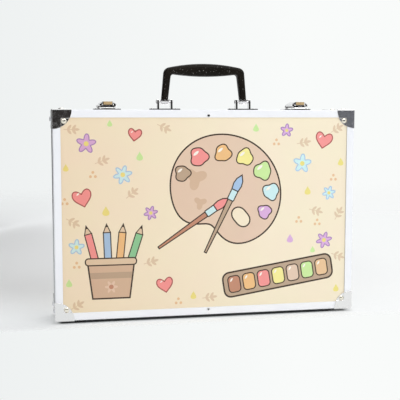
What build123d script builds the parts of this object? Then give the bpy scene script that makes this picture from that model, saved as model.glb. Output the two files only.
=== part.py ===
# Painting set case: a flat aluminium-framed case that stands on its hinge edge.
# Millimetres, +Z up, the lid faces -Y. The origin is the middle of the footprint, on the floor.
import os
from math import cos, pi, sin

from build123d import *

# Case
case_width = 400.0
case_height = 270.0
lid_depth = 24.0
base_depth = 38.0

# Sides that small round forms are drawn with: bars and eyes, heads and rings, and the protectors' outlines
round_sides = 16
head_sides = 12
outline_sides = 32

# Frame rails
wall = 1.3
flange = 10.0
edge_chamfer = 1.2
panel_thickness = 2.6
slot_play = 0.1
seat_reach = 10.4
seat_thickness = 1.0
tongue_thickness = 1.2
tongue_height = 3.0
tongue_root = 5.0
tongue_play = 0.25
groove_width = 1.2
groove_depth = 0.4
groove_pitch = 3.6
groove_from_seam = 5.0

# Corner protectors
corner_reach = 24.5
corner_depth = 18.0
corner_skin = 0.8
corner_band = 0.9
corner_round = 1.0

# Rivets
large_head_radius = 3.4
large_head_height = 1.5
small_head_radius = 2.2
small_head_height = 0.9
head_slope = 50.0
corner_rivet_in = 14.5
corner_rivet_down = 14.4
side_rivet_along = 12.0
side_rivet_deep = 9.5
middle_rivet_in = 7.4

# Trays
base_tray_play = 0.45
lid_tray_play = 1.25
tray_skin = 1.4
tray_seat_gap = 0.4
tray_web = 7.0
tray_mouth_gap = 0.5
tray_corner = 6.0
tray_split_x = 34.0
tray_split_low_x = -58.0
tray_split_z = -4.0
lid_split_x = 20.0
ridge_pitch = 15.0
ridge_width = 4.0
ridge_height = 2.4
ridge_slope = 25.0
seat_ring_radius = 17.0
seat_ring_width = 1.6
seat_ring_pitch = 44.0

# Handle
handle_from_seam = 7.0
handle_half_spread = 52.9
handle_axis_height = 10.7
leg_bottom_height = 13.2
leg_width = 8.8
leg_lean = 3.8
grip_top_height = 60.6
grip_camber = 6.4
grip_thickness = 17.0
grip_end_thickness = 7.4
grip_corner_radius = 8.5
grip_inner_radius = 4.0
grip_half_depth_top = 9.4
grip_half_depth_bottom = 6.6
grip_edge_chamfer = 2.6
tang_width = 4.0
tang_half_depth = 3.4
tang_length = 12.0
tang_play = 0.1
eye_width = 8.6
eye_radius = 3.6
eye_cap_thickness = 1.2
eye_cap_width = 12.0
eye_cap_overhang = 0.5
pin_radius = 1.8
pin_play = 0.06
pin_head_radius = 2.6
pin_head_height = 1.2

# Handle brackets
bracket_length = 41.0
bracket_width = 13.0
bracket_thickness = 1.2
bracket_tip_width = 7.0
ear_gap = 15.4
ear_thickness = 2.4
ear_half_depth = 4.6
ear_rise = 3.2
ear_side_slope = 86.0
bracket_rivet_in = 4.6

# Latches
latch_from_end = 71.3
latch_plate_length = 36.0
latch_plate_depth = 25.0
latch_plate_thickness = 1.0
plate_corner = 2.5
latch_from_seam = 1.2
latch_axis_from_seam = 20.0
latch_axis_height = 4.2
latch_pin_radius = 1.2
latch_pin_head = 2.0
latch_pin_head_height = 0.7
latch_ear_gap = 18.0
latch_ear_thickness = 1.0
latch_ear_radius = 2.6
lever_thickness = 1.0
lever_play = 0.3
lever_height = 10.6
lever_shoulder_height = 7.6
lever_plateau = 12.6
lever_underside = 4.6
lever_nose_from_seam = -8.4
apron_bottom = 5.9
apron_flare = 1.6
lever_tongue_width = 5.0
latch_rivet_in = 5.0
latch_rivet_from_seam = 7.0
catch_length = 27.0
catch_depth = 13.0
catch_lip_width = 15.0
catch_lip_from_seam = -6.2
catch_lip_height = 4.0
catch_lip_thickness = 1.0
catch_rivet_in = 3.5

# Hinges
hinge_from_end = 80.0
hinge_length = 50.0
hinge_leaf_width = 14.0
hinge_leaf_thickness = 1.0
knuckle_radius = 1.9
hinge_pin_radius = 0.9
hinge_pin_play = 0.05
hinge_pin_head = 1.5
hinge_pin_head_height = 0.8
knuckle_count = 3
knuckle_gap = 0.3
knuckle_clearance = 0.4
hinge_rivet_from_seam = 9.5
hinge_rivet_in = 9.0

# Feet
foot_height = 4.4
foot_radius = 6.0
foot_slope = 16.0
foot_edge = 1.0
foot_from_corner = 1.5
foot_from_face = 11.5

# Places worked out from the sizes above
half_width = case_width / 2
half_height = case_height / 2
front_y = -(lid_depth + base_depth) / 2
back_y = -front_y
seam_y = front_y + lid_depth
foot_x = half_width - corner_reach - foot_from_corner - foot_radius
hinge_x = half_width - hinge_from_end
latch_x = half_width - latch_from_end
grip_shoulder_top = grip_top_height - grip_camber
grip_shoulder_bottom = grip_shoulder_top - grip_end_thickness
grip_bottom_height = grip_top_height - grip_thickness
low_z = foot_height
mid_z = foot_height + half_height
top_z = foot_height + case_height
seat_start = wall + panel_thickness + slot_play
seat_end = seat_start + seat_thickness
tongue_inner = wall + tongue_play + tongue_thickness
handle_y = seam_y + handle_from_seam
handle_z = top_z + handle_axis_height
latch_axis_y = seam_y + latch_axis_from_seam
latch_axis_z = top_z + latch_axis_height
hinge_z = low_z - knuckle_radius
left, right = Vector(-1, 0, 0), Vector(1, 0, 0)
down, up = Vector(0, 0, -1), Vector(0, 0, 1)
backward, forward = Vector(0, 1, 0), Vector(0, -1, 0)

os.makedirs("parts", exist_ok=True)


def save(piece, name):
    """Labels a finished piece and writes it under its own name."""
    piece.part.label = name
    export_step(piece.part, f"parts/{name}.step")


# Rivet places: each is the point on the outer surface and the direction that the head faces.

def corner_face_places(face_y, outward):
    """Large rivets on the face, one in each corner protector, on its sunk middle."""
    sunk = wall - corner_skin
    return [
        (Vector(sx * (half_width - corner_rivet_in), face_y, mid_z + sz * (half_height - corner_rivet_down))
         - outward * sunk, outward)
        for sx in (-1, 1) for sz in (-1, 1)
    ]


def corner_end_places(face_y, outward):
    """Large rivets on the left and right walls, in the protectors' side leaves."""
    return [
        (Vector(sx * (half_width + corner_skin), face_y, mid_z + sz * (half_height - side_rivet_along))
         - outward * side_rivet_deep, Vector(sx, 0, 0))
        for sx in (-1, 1) for sz in (-1, 1)
    ]


def corner_edge_places(face_y, outward):
    """Large rivets on the top and bottom walls, in the protectors' upper and lower leaves."""
    return [
        (Vector(sx * (half_width - side_rivet_along), face_y, mid_z + sz * (half_height + corner_skin))
         - outward * side_rivet_deep, Vector(0, 0, sz))
        for sx in (-1, 1) for sz in (-1, 1)
    ]


def middle_places(face_y, outward):
    """Small rivets in the flange, at the middle of the top and bottom rails."""
    return [(Vector(0, face_y, mid_z + sz * (half_height - middle_rivet_in)), outward) for sz in (-1, 1)]


bracket_places = [
    (Vector(side * handle_half_spread + end * (bracket_length / 2 - bracket_rivet_in), handle_y,
            top_z + bracket_thickness), up)
    for side in (-1, 1) for end in (-1, 1)
]
latch_places = [
    (Vector(side * latch_x + end * (latch_plate_length / 2 - latch_rivet_in), seam_y + latch_rivet_from_seam,
            top_z + latch_plate_thickness), up)
    for side in (-1, 1) for end in (-1, 1)
]
catch_y = seam_y - latch_from_seam - catch_depth / 2
catch_places = [
    (Vector(side * latch_x + end * (catch_length / 2 - catch_rivet_in), catch_y,
            top_z + latch_plate_thickness), up)
    for side in (-1, 1) for end in (-1, 1)
]


def hinge_places(side_of_seam):
    """Small rivets in the hinge leaves of one half; the sign tells the half."""
    return [
        (Vector(side * hinge_x + end * (hinge_length / 2 - hinge_rivet_in),
                seam_y + side_of_seam * hinge_rivet_from_seam, low_z - hinge_leaf_thickness), down)
        for side in (-1, 1) for end in (-1, 1)
    ]


# Frame rails

def rail_section(depth, with_tongue):
    """The rail's section: x runs inwards from the outer wall, y runs back from the face."""
    corners = [
        (0, 0), (flange, 0), (flange, wall), (wall, wall), (wall, seat_start), (seat_reach, seat_start),
        (seat_reach, seat_end), (wall, seat_end),
    ]
    if with_tongue:
        corners += [
            (wall, depth - tongue_root), (tongue_inner, depth - tongue_root + tongue_inner - wall),
            (tongue_inner, depth + tongue_height), (tongue_inner - tongue_thickness, depth + tongue_height),
            (tongue_inner - tongue_thickness, depth),
        ]
    else:
        corners.append((wall, depth))
    corners.append((0, depth))
    with BuildSketch() as section:
        with BuildLine():
            Polyline(*corners, close=True)
        make_face()
        chamfer(section.vertices().sort_by_distance((0, 0))[0], edge_chamfer)
        with Locations(*[(0, depth - groove_from_seam - n * groove_pitch) for n in range(2)]):
            Rectangle(2 * groove_depth, groove_width, mode=Mode.SUBTRACT)
    return section.sketch


def rail(inward, face_y, into_case, depth, with_tongue):
    """One rail with mitred ends, lying along the edge that faces away from inward."""
    along = inward.cross(into_case)
    to_edge = half_height if abs(inward.Z) > 0.5 else half_width
    half_length = half_width if abs(inward.Z) > 0.5 else half_height
    place = Plane(origin=Vector(0, face_y, mid_z) - inward * to_edge, x_dir=inward, z_dir=along)
    with BuildPart() as piece:
        with BuildSketch(place):
            add(rail_section(depth, with_tongue))
        extrude(amount=half_length, both=True)
        for end in (-1, 1):
            mitre = Plane(origin=place.origin + along * (end * half_length), z_dir=along * end + inward)
            split(bisect_by=mitre, keep=Keep.BOTTOM)
    return piece


sides = {"top": down, "bottom": up, "left": right, "right": left}
for side_name, inward in sides.items():
    save(rail(inward, front_y, backward, lid_depth, False), f"lid_rail_{side_name}")
    save(rail(inward, back_y, forward, base_depth, True), f"base_rail_{side_name}")


# Panels: boards that sit in the slot between the flange and the seat.

def panel(face_y, outward):
    """A board that reaches almost to the walls on all four sides."""
    outer_face = face_y - outward.Y * wall
    with BuildPart() as piece:
        with BuildSketch(Plane(origin=(0, outer_face, mid_z), x_dir=right, z_dir=outward)):
            Rectangle(case_width - 2 * (wall + slot_play), case_height - 2 * (wall + slot_play))
        extrude(amount=-panel_thickness)
    return piece


save(panel(front_y, forward), "lid_panel")
save(panel(back_y, backward), "base_panel")


# Corner protectors: the pressed cap at the top left of the lid, then mirrored to the other corners.

corner_point = Vector(-half_width, front_y, top_z)
corner_size = corner_reach + corner_depth
grow = Align.MIN
shrink = Align.MAX


def oval(half_x, half_y):
    """A many-sided oval, which trims one leaf of a protector to its rounded outline."""
    turns = [2 * pi * n / outline_sides for n in range(outline_sides)]
    with BuildLine() as outline:
        Polyline(*[(half_x * cos(turn), half_y * sin(turn)) for turn in turns], close=True)
    return outline.line


with BuildPart() as case_corner:
    with Locations(corner_point):
        Box(corner_size, corner_size, corner_size, align=(grow, grow, shrink))
    with Locations(corner_point + Vector(flange, 0, -flange)):
        Box(corner_size, wall, corner_size, align=(grow, grow, shrink), mode=Mode.SUBTRACT)
    front_edges = case_corner.edges().filter_by_position(Axis.Y, front_y, front_y)
    top_edge = front_edges.filter_by(Axis.X).sort_by(Axis.Z)[-1]
    left_edge = front_edges.filter_by(Axis.Z).sort_by(Axis.X)[0]
    chamfer([top_edge, left_edge], edge_chamfer)

with BuildPart() as first_corner:
    with Locations(corner_point + Vector(-corner_skin, -corner_skin, corner_skin)):
        Box(corner_size, corner_size, corner_size, align=(grow, grow, shrink))
    outer_vertex = corner_point + Vector(-corner_skin, -corner_skin, corner_skin)
    chamfer(first_corner.edges().sort_by_distance(outer_vertex)[0:3], corner_round)
    with Locations(corner_point + Vector(flange + corner_band, -corner_skin, -flange - corner_band)):
        Box(corner_size, wall, corner_size, align=(grow, grow, shrink), mode=Mode.SUBTRACT)
    add(case_corner.part, mode=Mode.SUBTRACT)
    for across, leaf_normal, reach in ((right, forward, corner_reach), (backward, right, corner_depth),
                                       (backward, up, corner_depth)):
        with BuildSketch(Plane(origin=corner_point, x_dir=across, z_dir=leaf_normal)):
            with BuildLine():
                add(oval(reach, corner_reach))
            make_face()
        extrude(amount=corner_size, both=True, mode=Mode.INTERSECT)

mirror_planes = {
    "top_left": [],
    "top_right": [Plane.YZ],
    "bottom_left": [Plane.XY.offset(mid_z)],
    "bottom_right": [Plane.YZ, Plane.XY.offset(mid_z)],
}
for corner_name, planes in mirror_planes.items():
    for half, extra in (("lid", []), ("base", [Plane.XZ])):
        form = first_corner.part
        for plane in planes + extra:
            form = mirror(form, about=plane, mode=Mode.PRIVATE)
        with BuildPart() as corner_piece:
            add(form)
        save(corner_piece, f"{half}_corner_{corner_name}")


# Rivets: their heads, seated on the sheets that they hold.

def rivets(large_places, small_places):
    """Identical rivets set at their places, each a (point, outward direction)."""
    with BuildPart() as piece:
        for places, head_radius, head_height in (
                (large_places, large_head_radius, large_head_height),
                (small_places, small_head_radius, small_head_height)):
            for point, outward in places:
                with BuildSketch(Plane(origin=point, z_dir=outward)):
                    RegularPolygon(head_radius, head_sides)
                extrude(amount=head_height, taper=head_slope)
    return piece


for half, face_y, outward in (("lid", front_y, forward), ("base", back_y, backward)):
    large = corner_face_places(face_y, outward) + corner_end_places(face_y, outward)
    large += corner_edge_places(face_y, outward)
    save(rivets(large, middle_places(face_y, outward)), f"{half}_corner_rivets")
save(rivets([], hinge_places(-1) + catch_places), "lid_fitting_rivets")
save(rivets([], hinge_places(1) + latch_places + bracket_places), "base_fitting_rivets")


# Trays: thin moulded sheets with a flat deck and deep pockets.

tray_x_end = half_width - seat_reach - tray_seat_gap - tray_skin
tray_z_end = half_height - seat_reach - tray_seat_gap - tray_skin


def pocket_spans(split_z, split_top, split_low):
    """Pockets as (low x, high x, low z, high z), from where the webs between them run."""
    web = tray_web / 2
    return [
        (-tray_x_end, split_top - web, split_z + web, tray_z_end),
        (split_top + web, tray_x_end, split_z + web, tray_z_end),
        (-tray_x_end, split_low - web, -tray_z_end, split_z - web),
        (split_low + web, tray_x_end, -tray_z_end, split_z - web),
    ]


def tray(face_y, into_case, depth, play, pockets, ridged, ringed):
    """A deck near the seam with one cup for each pocket, and shapes on the pockets' floors."""
    half_deck_x = half_width - tongue_inner - play
    half_deck_z = half_height - tongue_inner - play
    mouth = Plane(origin=Vector(0, face_y, mid_z) + into_case * (depth - tray_mouth_gap), x_dir=right,
                  z_dir=into_case)
    cup_depth = depth - tray_mouth_gap - seat_end
    flip = 1 if into_case.Y < 0 else -1
    with BuildPart() as piece:
        with BuildSketch(mouth) as deck:
            Rectangle(2 * half_deck_x, 2 * half_deck_z)
            chamfer(deck.vertices(), tray_corner)
        extrude(amount=-tray_skin)
        for wall_growth, reach, mode in ((tray_skin, cup_depth, Mode.ADD), (0, cup_depth - tray_skin, Mode.SUBTRACT)):
            with BuildSketch(mouth) as cups:
                for low_x, high_x, low_pocket, high_pocket in pockets:
                    middle_z = flip * (low_pocket + high_pocket) / 2
                    with Locations(((low_x + high_x) / 2, middle_z)):
                        Rectangle(high_x - low_x + 2 * wall_growth, high_pocket - low_pocket + 2 * wall_growth)
                chamfer(cups.vertices(), tray_corner)
            extrude(amount=-reach, mode=mode)
        pocket_floor = mouth.offset(tray_skin - cup_depth)
        for index in ridged:
            low_x, high_x, low_pocket, high_pocket = pockets[index]
            count = int((high_x - low_x - 2 * tray_corner) / ridge_pitch)
            with BuildSketch(pocket_floor):
                with Locations(((low_x + high_x) / 2, flip * (low_pocket + high_pocket) / 2)):
                    with GridLocations(ridge_pitch, 1, count, 1):
                        Rectangle(ridge_width, high_pocket - low_pocket)
            extrude(amount=ridge_height, taper=ridge_slope)
        for index in ringed:
            low_x, high_x, low_pocket, high_pocket = pockets[index]
            across = int((high_x - low_x) / seat_ring_pitch)
            rows = int((high_pocket - low_pocket) / seat_ring_pitch)
            with BuildSketch(pocket_floor):
                with Locations(((low_x + high_x) / 2, flip * (low_pocket + high_pocket) / 2)):
                    with GridLocations(seat_ring_pitch, seat_ring_pitch, across, rows):
                        RegularPolygon(seat_ring_radius, head_sides)
                        RegularPolygon(seat_ring_radius - seat_ring_width, head_sides, mode=Mode.SUBTRACT)
            extrude(amount=ridge_height)
    return piece


base_pockets = pocket_spans(tray_split_z, tray_split_x, tray_split_low_x)
save(tray(back_y, forward, base_depth, base_tray_play, base_pockets, (0, 3), (1,)), "base_tray")
lid_pockets = [
    (-tray_x_end, lid_split_x - tray_web / 2, -tray_z_end, tray_z_end),
    (lid_split_x + tray_web / 2, tray_x_end, -tray_z_end, tray_z_end),
]
save(tray(front_y, backward, lid_depth, lid_tray_play, lid_pockets, (0, 1), ()), "lid_tray")


# Hinges: interleaved knuckles on one pin, the leaves riveted under the lower rails.

knuckle_pitch = hinge_length / knuckle_count


def hinge_leaf(hinge_place, half_sign, own_knuckles):
    """One leaf with its own share of the knuckles."""
    leaf_start = knuckle_radius + knuckle_clearance
    with BuildPart() as piece:
        with BuildSketch(Plane.XY.offset(low_z)):
            with Locations((hinge_place, seam_y + half_sign * (leaf_start + hinge_leaf_width) / 2)):
                Rectangle(hinge_length, hinge_leaf_width - leaf_start)
        extrude(amount=-hinge_leaf_thickness)
        for index in own_knuckles:
            middle = hinge_place + (index - (knuckle_count - 1) / 2) * knuckle_pitch
            with BuildSketch(Plane(origin=(middle, seam_y, hinge_z), x_dir=backward, z_dir=right)):
                RegularPolygon(knuckle_radius, head_sides)
                with Locations((half_sign * leaf_start / 2, knuckle_radius - hinge_leaf_thickness / 2)):
                    Rectangle(leaf_start, hinge_leaf_thickness)
            extrude(amount=(knuckle_pitch - knuckle_gap) / 2, both=True)
        with BuildSketch(Plane(origin=(hinge_place, seam_y, hinge_z), x_dir=backward, z_dir=right)):
            RegularPolygon(hinge_pin_radius + hinge_pin_play, head_sides, major_radius=False)
        extrude(amount=hinge_length, both=True, mode=Mode.SUBTRACT)
    return piece


for side_name, side in (("left", -1), ("right", 1)):
    place_x = side * hinge_x
    save(hinge_leaf(place_x, 1, range(0, knuckle_count, 2)), f"base_hinge_leaf_{side_name}")
    save(hinge_leaf(place_x, -1, range(1, knuckle_count, 2)), f"lid_hinge_leaf_{side_name}")
    with BuildPart() as hinge_pin:
        with BuildSketch(Plane(origin=(place_x, seam_y, hinge_z), x_dir=backward, z_dir=right)):
            Circle(hinge_pin_radius)
        extrude(amount=hinge_length / 2, both=True)
        for end in (-1, 1):
            outer_end = Vector(place_x + end * (hinge_length - knuckle_gap) / 2, seam_y, hinge_z)
            with BuildSketch(Plane(origin=outer_end, x_dir=backward, z_dir=right * end)):
                RegularPolygon(hinge_pin_head, head_sides)
            extrude(amount=hinge_pin_head_height)
    save(hinge_pin, f"hinge_pin_{side_name}")


# Feet: rubber buttons that keep the hinges off the floor.

def feet(foot_y):
    """Two feet under one half."""
    with BuildPart() as piece:
        with BuildSketch(Plane(origin=(0, foot_y, foot_height), z_dir=down)):
            with Locations((-foot_x, 0), (foot_x, 0)):
                RegularPolygon(foot_radius, round_sides)
        extrude(amount=foot_height, taper=foot_slope)
        chamfer(piece.edges().group_by(Axis.Z)[0], foot_edge)
    return piece


save(feet(front_y + foot_from_face), "lid_feet")
save(feet(back_y - foot_from_face), "base_feet")


# Handle grip: a cambered bar on two legs that lean inwards, narrower at the bottom.

leg_outer = handle_half_spread + leg_width / 2
leg_inner = handle_half_spread - leg_width / 2
shoulder_outer = leg_outer - leg_lean
shoulder_inner = leg_inner - leg_lean
handle_plane = Plane(origin=(0, handle_y, top_z), x_dir=right, z_dir=forward)

with BuildPart() as handle_grip:
    with BuildSketch(handle_plane) as grip_outline:
        with BuildLine():
            Line((-leg_outer, leg_bottom_height), (-shoulder_outer, grip_shoulder_top))
            ThreePointArc((-shoulder_outer, grip_shoulder_top), (0, grip_top_height),
                          (shoulder_outer, grip_shoulder_top))
            Polyline((shoulder_outer, grip_shoulder_top), (leg_outer, leg_bottom_height),
                     (leg_inner, leg_bottom_height), (shoulder_inner, grip_shoulder_bottom))
            ThreePointArc((shoulder_inner, grip_shoulder_bottom), (0, grip_bottom_height),
                          (-shoulder_inner, grip_shoulder_bottom))
            Polyline((-shoulder_inner, grip_shoulder_bottom), (-leg_inner, leg_bottom_height),
                     (-leg_outer, leg_bottom_height))
        make_face()
        shoulders = grip_outline.vertices().group_by(Axis.Y)
        fillet(shoulders[-1], grip_corner_radius)
        fillet(grip_outline.vertices().filter_by_position(
            Axis.Y, grip_shoulder_bottom - 0.1, grip_shoulder_bottom + 0.1), grip_inner_radius)
    extrude(amount=grip_half_depth_top, both=True)
    for end in (-1, 1):
        foot_point = Vector(0, handle_y + end * grip_half_depth_bottom, top_z + leg_bottom_height)
        head_point = Vector(0, handle_y + end * grip_half_depth_top, top_z + grip_top_height)
        flank = Plane(origin=foot_point, x_dir=right, z_dir=right.cross(head_point - foot_point) * -end)
        split(bisect_by=flank, keep=Keep.BOTTOM)
    flank_faces = handle_grip.faces().filter_by(lambda face: abs(face.normal_at().Y) > 0.9)
    outline_edges = flank_faces.edges().filter_by(
        lambda edge: edge.center().Z > top_z + leg_bottom_height + 0.5)
    chamfer(outline_edges, grip_edge_chamfer)
    for side in (-1, 1):
        with Locations((side * handle_half_spread, handle_y, top_z + leg_bottom_height)):
            Box(tang_width + 2 * tang_play, 2 * (tang_half_depth + tang_play), tang_length + tang_play,
                align=(Align.CENTER, Align.CENTER, Align.MIN), mode=Mode.SUBTRACT)
save(handle_grip, "handle_grip")

for side_name, side in (("left", -1), ("right", 1)):
    eye_x = side * handle_half_spread
    cross_plane = Plane(origin=(eye_x, handle_y, handle_z), x_dir=backward, z_dir=right)
    cap_height = leg_bottom_height - handle_axis_height

    with BuildPart() as handle_eye:
        with BuildSketch(cross_plane):
            RegularPolygon(eye_radius, round_sides)
            with Locations((0, cap_height / 2)):
                Rectangle(2 * eye_radius, cap_height)
            with Locations((0, cap_height)):
                Rectangle(2 * eye_radius, eye_radius, align=(Align.CENTER, Align.MIN), mode=Mode.SUBTRACT)
        extrude(amount=eye_width / 2, both=True)
        with Locations((eye_x, handle_y, top_z + leg_bottom_height)):
            Box(eye_cap_width, 2 * (grip_half_depth_bottom + eye_cap_overhang),
                eye_cap_thickness, align=(Align.CENTER, Align.CENTER, Align.MAX))
            Box(tang_width, 2 * tang_half_depth, tang_length,
                align=(Align.CENTER, Align.CENTER, Align.MIN))
        with BuildSketch(cross_plane):
            RegularPolygon(pin_radius + pin_play, round_sides, major_radius=False)
        extrude(amount=eye_cap_width, both=True, mode=Mode.SUBTRACT)
    save(handle_eye, f"handle_eye_{side_name}")

    with BuildPart() as handle_pin:
        with BuildSketch(cross_plane):
            Circle(pin_radius)
        extrude(amount=ear_gap / 2 + ear_thickness, both=True)
        for end in (-1, 1):
            with BuildSketch(cross_plane.offset(end * (ear_gap / 2 + ear_thickness))):
                RegularPolygon(pin_head_radius, head_sides)
            extrude(amount=end * pin_head_height)
    save(handle_pin, f"handle_pin_{side_name}")

    with BuildPart() as bracket:
        with BuildSketch(Plane(origin=(eye_x, handle_y, top_z))) as bracket_outline:
            half_length = bracket_length / 2
            ear_line = ear_gap / 2 + ear_thickness
            with BuildLine():
                Polyline(
                    (-half_length, -bracket_tip_width / 2), (-ear_line, -bracket_width / 2),
                    (ear_line, -bracket_width / 2), (half_length, -bracket_tip_width / 2),
                    (half_length, bracket_tip_width / 2), (ear_line, bracket_width / 2),
                    (-ear_line, bracket_width / 2), (-half_length, bracket_tip_width / 2), close=True)
            make_face()
        extrude(amount=bracket_thickness)
        for end in (-1, 1):
            ear_plane = cross_plane.offset(end * (ear_gap + ear_thickness) / 2)
            with BuildSketch(ear_plane):
                RegularPolygon(ear_rise, round_sides)
                with Locations((0, -handle_axis_height / 2)):
                    Trapezoid(2 * ear_half_depth, handle_axis_height, ear_side_slope)
            extrude(amount=ear_thickness / 2, both=True)
        with BuildSketch(cross_plane):
            RegularPolygon(pin_radius + pin_play, round_sides, major_radius=False)
        extrude(amount=bracket_length, both=True, mode=Mode.SUBTRACT)
    save(bracket, f"handle_bracket_{side_name}")


# Latches: a riveted plate with ears, a pressed lever on a pin, and the catch on the lid.

lever_half = latch_ear_gap / 2 + latch_ear_thickness + lever_play + lever_thickness
lever_length = latch_axis_from_seam - lever_nose_from_seam
nose_y = seam_y + lever_nose_from_seam
inner_half = lever_half - lever_thickness
inner_plateau = lever_plateau / 2 - lever_thickness / 3
inner_top = lever_height - lever_thickness
inner_shoulder = lever_shoulder_height - lever_thickness / 2

for side_name, side in (("left", -1), ("right", 1)):
    centre_x = side * latch_x
    axis_plane = Plane(origin=(centre_x, latch_axis_y, latch_axis_z), x_dir=backward, z_dir=right)

    with BuildPart() as latch_plate:
        with BuildSketch(Plane(origin=(centre_x, seam_y + latch_from_seam + latch_plate_depth / 2, top_z))):
            Rectangle(latch_plate_length, latch_plate_depth)
        extrude(amount=latch_plate_thickness)
        chamfer(latch_plate.edges().filter_by(Axis.Z), plate_corner)
        for end in (-1, 1):
            ear_plane = axis_plane.offset(end * (latch_ear_gap + latch_ear_thickness) / 2)
            with BuildSketch(ear_plane):
                RegularPolygon(latch_ear_radius, round_sides)
                with Locations((0, -latch_axis_height / 2)):
                    Rectangle(2 * latch_ear_radius, latch_axis_height)
            extrude(amount=latch_ear_thickness / 2, both=True)
        with BuildSketch(axis_plane):
            RegularPolygon(latch_pin_radius + hinge_pin_play, round_sides, major_radius=False)
        extrude(amount=latch_plate_length, both=True, mode=Mode.SUBTRACT)
    save(latch_plate, f"latch_plate_{side_name}")

    with BuildPart() as lever:
        across = Plane(origin=(centre_x, nose_y, top_z), x_dir=right, z_dir=forward)
        with BuildSketch(across):
            with BuildLine():
                Polyline(
                    (-lever_half, lever_underside), (-lever_half, lever_shoulder_height),
                    (-lever_plateau / 2, lever_height), (lever_plateau / 2, lever_height),
                    (lever_half, lever_shoulder_height), (lever_half, lever_underside), close=True)
            make_face()
        extrude(amount=-lever_length)
        with BuildSketch(across):
            with BuildLine():
                Polyline(
                    (-inner_half, 0), (-inner_half, inner_shoulder), (-inner_plateau, inner_top),
                    (inner_plateau, inner_top), (inner_half, inner_shoulder), (inner_half, 0), close=True)
            make_face()
        extrude(amount=-lever_length, mode=Mode.SUBTRACT)
        for end in (-1, 1):
            cheek_plane = axis_plane.offset(end * (lever_half - lever_thickness / 2))
            with BuildSketch(cheek_plane):
                RegularPolygon(latch_ear_radius, round_sides)
            extrude(amount=lever_thickness / 2, both=True)
        with BuildSketch(across):
            with BuildLine():
                Polyline(
                    (-lever_plateau / 2 - apron_flare, apron_bottom), (-lever_plateau / 2, lever_height),
                    (lever_plateau / 2, lever_height), (lever_plateau / 2 + apron_flare, apron_bottom),
                    (lever_tongue_width / 2, apron_bottom), (lever_tongue_width / 2, lever_underside),
                    (-lever_tongue_width / 2, lever_underside), (-lever_tongue_width / 2, apron_bottom),
                    close=True)
            make_face()
        extrude(amount=-lever_thickness)
        with BuildSketch(axis_plane):
            RegularPolygon(latch_pin_radius + hinge_pin_play, round_sides, major_radius=False)
        extrude(amount=latch_plate_length, both=True, mode=Mode.SUBTRACT)
    save(lever, f"latch_lever_{side_name}")

    with BuildPart() as latch_pin:
        with BuildSketch(axis_plane):
            Circle(latch_pin_radius)
        extrude(amount=lever_half + lever_play, both=True)
        for end in (-1, 1):
            with BuildSketch(axis_plane.offset(end * (lever_half + lever_play))):
                RegularPolygon(latch_pin_head, head_sides)
            extrude(amount=end * latch_pin_head_height)
    save(latch_pin, f"latch_pin_{side_name}")

    with BuildPart() as catch:
        with BuildSketch(Plane(origin=(centre_x, catch_y, top_z))):
            Rectangle(catch_length, catch_depth)
        extrude(amount=latch_plate_thickness)
        chamfer(catch.edges().filter_by(Axis.Z), plate_corner)
        with Locations((centre_x, seam_y + catch_lip_from_seam, top_z)):
            Box(catch_lip_width, catch_lip_thickness, catch_lip_height,
                align=(Align.CENTER, Align.CENTER, Align.MIN))
    save(catch, f"latch_catch_{side_name}")
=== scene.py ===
# %% [markdown]
# # A children's painting set case
#
# The object is a flat art case that stands on its hinge edge. Each half is a frame of extruded
# aluminium with a printed board in its face, chrome corner protectors and nickel rivets. The top edge
# carries two snap latches and a folding handle. Its measured solids come from a CAD model, so this
# lesson is about the looks: rounding knife-sharp edges, turning the small round parts, printing the
# board, and writing one material for each real finish.
#
# We start by loading the measured solids. They are in metres and already in place, so nothing has to
# be fitted. Sizes below are given in millimetres, and MM turns them into metres.

# %% Load the measured solids
import math

import bmesh
import bpy
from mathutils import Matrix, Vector
from mathutils.geometry import delaunay_2d_cdt


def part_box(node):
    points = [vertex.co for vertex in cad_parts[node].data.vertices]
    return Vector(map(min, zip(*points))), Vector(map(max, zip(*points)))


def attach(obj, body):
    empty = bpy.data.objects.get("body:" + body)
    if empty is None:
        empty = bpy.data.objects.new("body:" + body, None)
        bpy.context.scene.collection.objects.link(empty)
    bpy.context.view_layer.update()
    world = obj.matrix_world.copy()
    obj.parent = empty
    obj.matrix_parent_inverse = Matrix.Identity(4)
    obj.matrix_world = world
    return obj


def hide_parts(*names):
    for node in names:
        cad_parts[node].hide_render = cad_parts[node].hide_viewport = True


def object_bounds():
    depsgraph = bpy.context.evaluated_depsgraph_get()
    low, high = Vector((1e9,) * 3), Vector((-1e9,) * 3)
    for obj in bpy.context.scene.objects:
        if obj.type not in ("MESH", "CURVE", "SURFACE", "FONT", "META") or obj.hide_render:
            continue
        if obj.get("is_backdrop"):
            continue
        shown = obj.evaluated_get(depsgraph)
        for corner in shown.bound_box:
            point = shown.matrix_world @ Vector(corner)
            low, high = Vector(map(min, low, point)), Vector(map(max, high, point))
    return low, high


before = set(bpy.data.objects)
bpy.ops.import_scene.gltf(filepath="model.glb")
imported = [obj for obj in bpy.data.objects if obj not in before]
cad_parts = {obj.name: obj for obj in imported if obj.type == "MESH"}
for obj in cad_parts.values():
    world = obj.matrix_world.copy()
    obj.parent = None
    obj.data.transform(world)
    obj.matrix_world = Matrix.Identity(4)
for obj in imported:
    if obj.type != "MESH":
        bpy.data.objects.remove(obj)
cad_low, cad_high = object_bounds()
MM = 0.001
print("solids", len(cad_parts), "height in mm", round((cad_high.z - cad_low.z) / MM, 1))

# %% [markdown]
# ## Helpers for materials
#
# Paint charts and photographs give colours as sRGB hex codes, while Blender's sockets want linear
# light, so one function does that conversion. A second one adds a node with its settings and its links
# in a single line, which keeps a node tree readable as text: names in small letters are properties of
# the node, and all others are its sockets.
#
# Most sockets go by name. A Mix node has several with the same name, so its colour sockets go by
# number, and we name the numbers. The two inputs of a Math node are simply 0 and 1.

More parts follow.
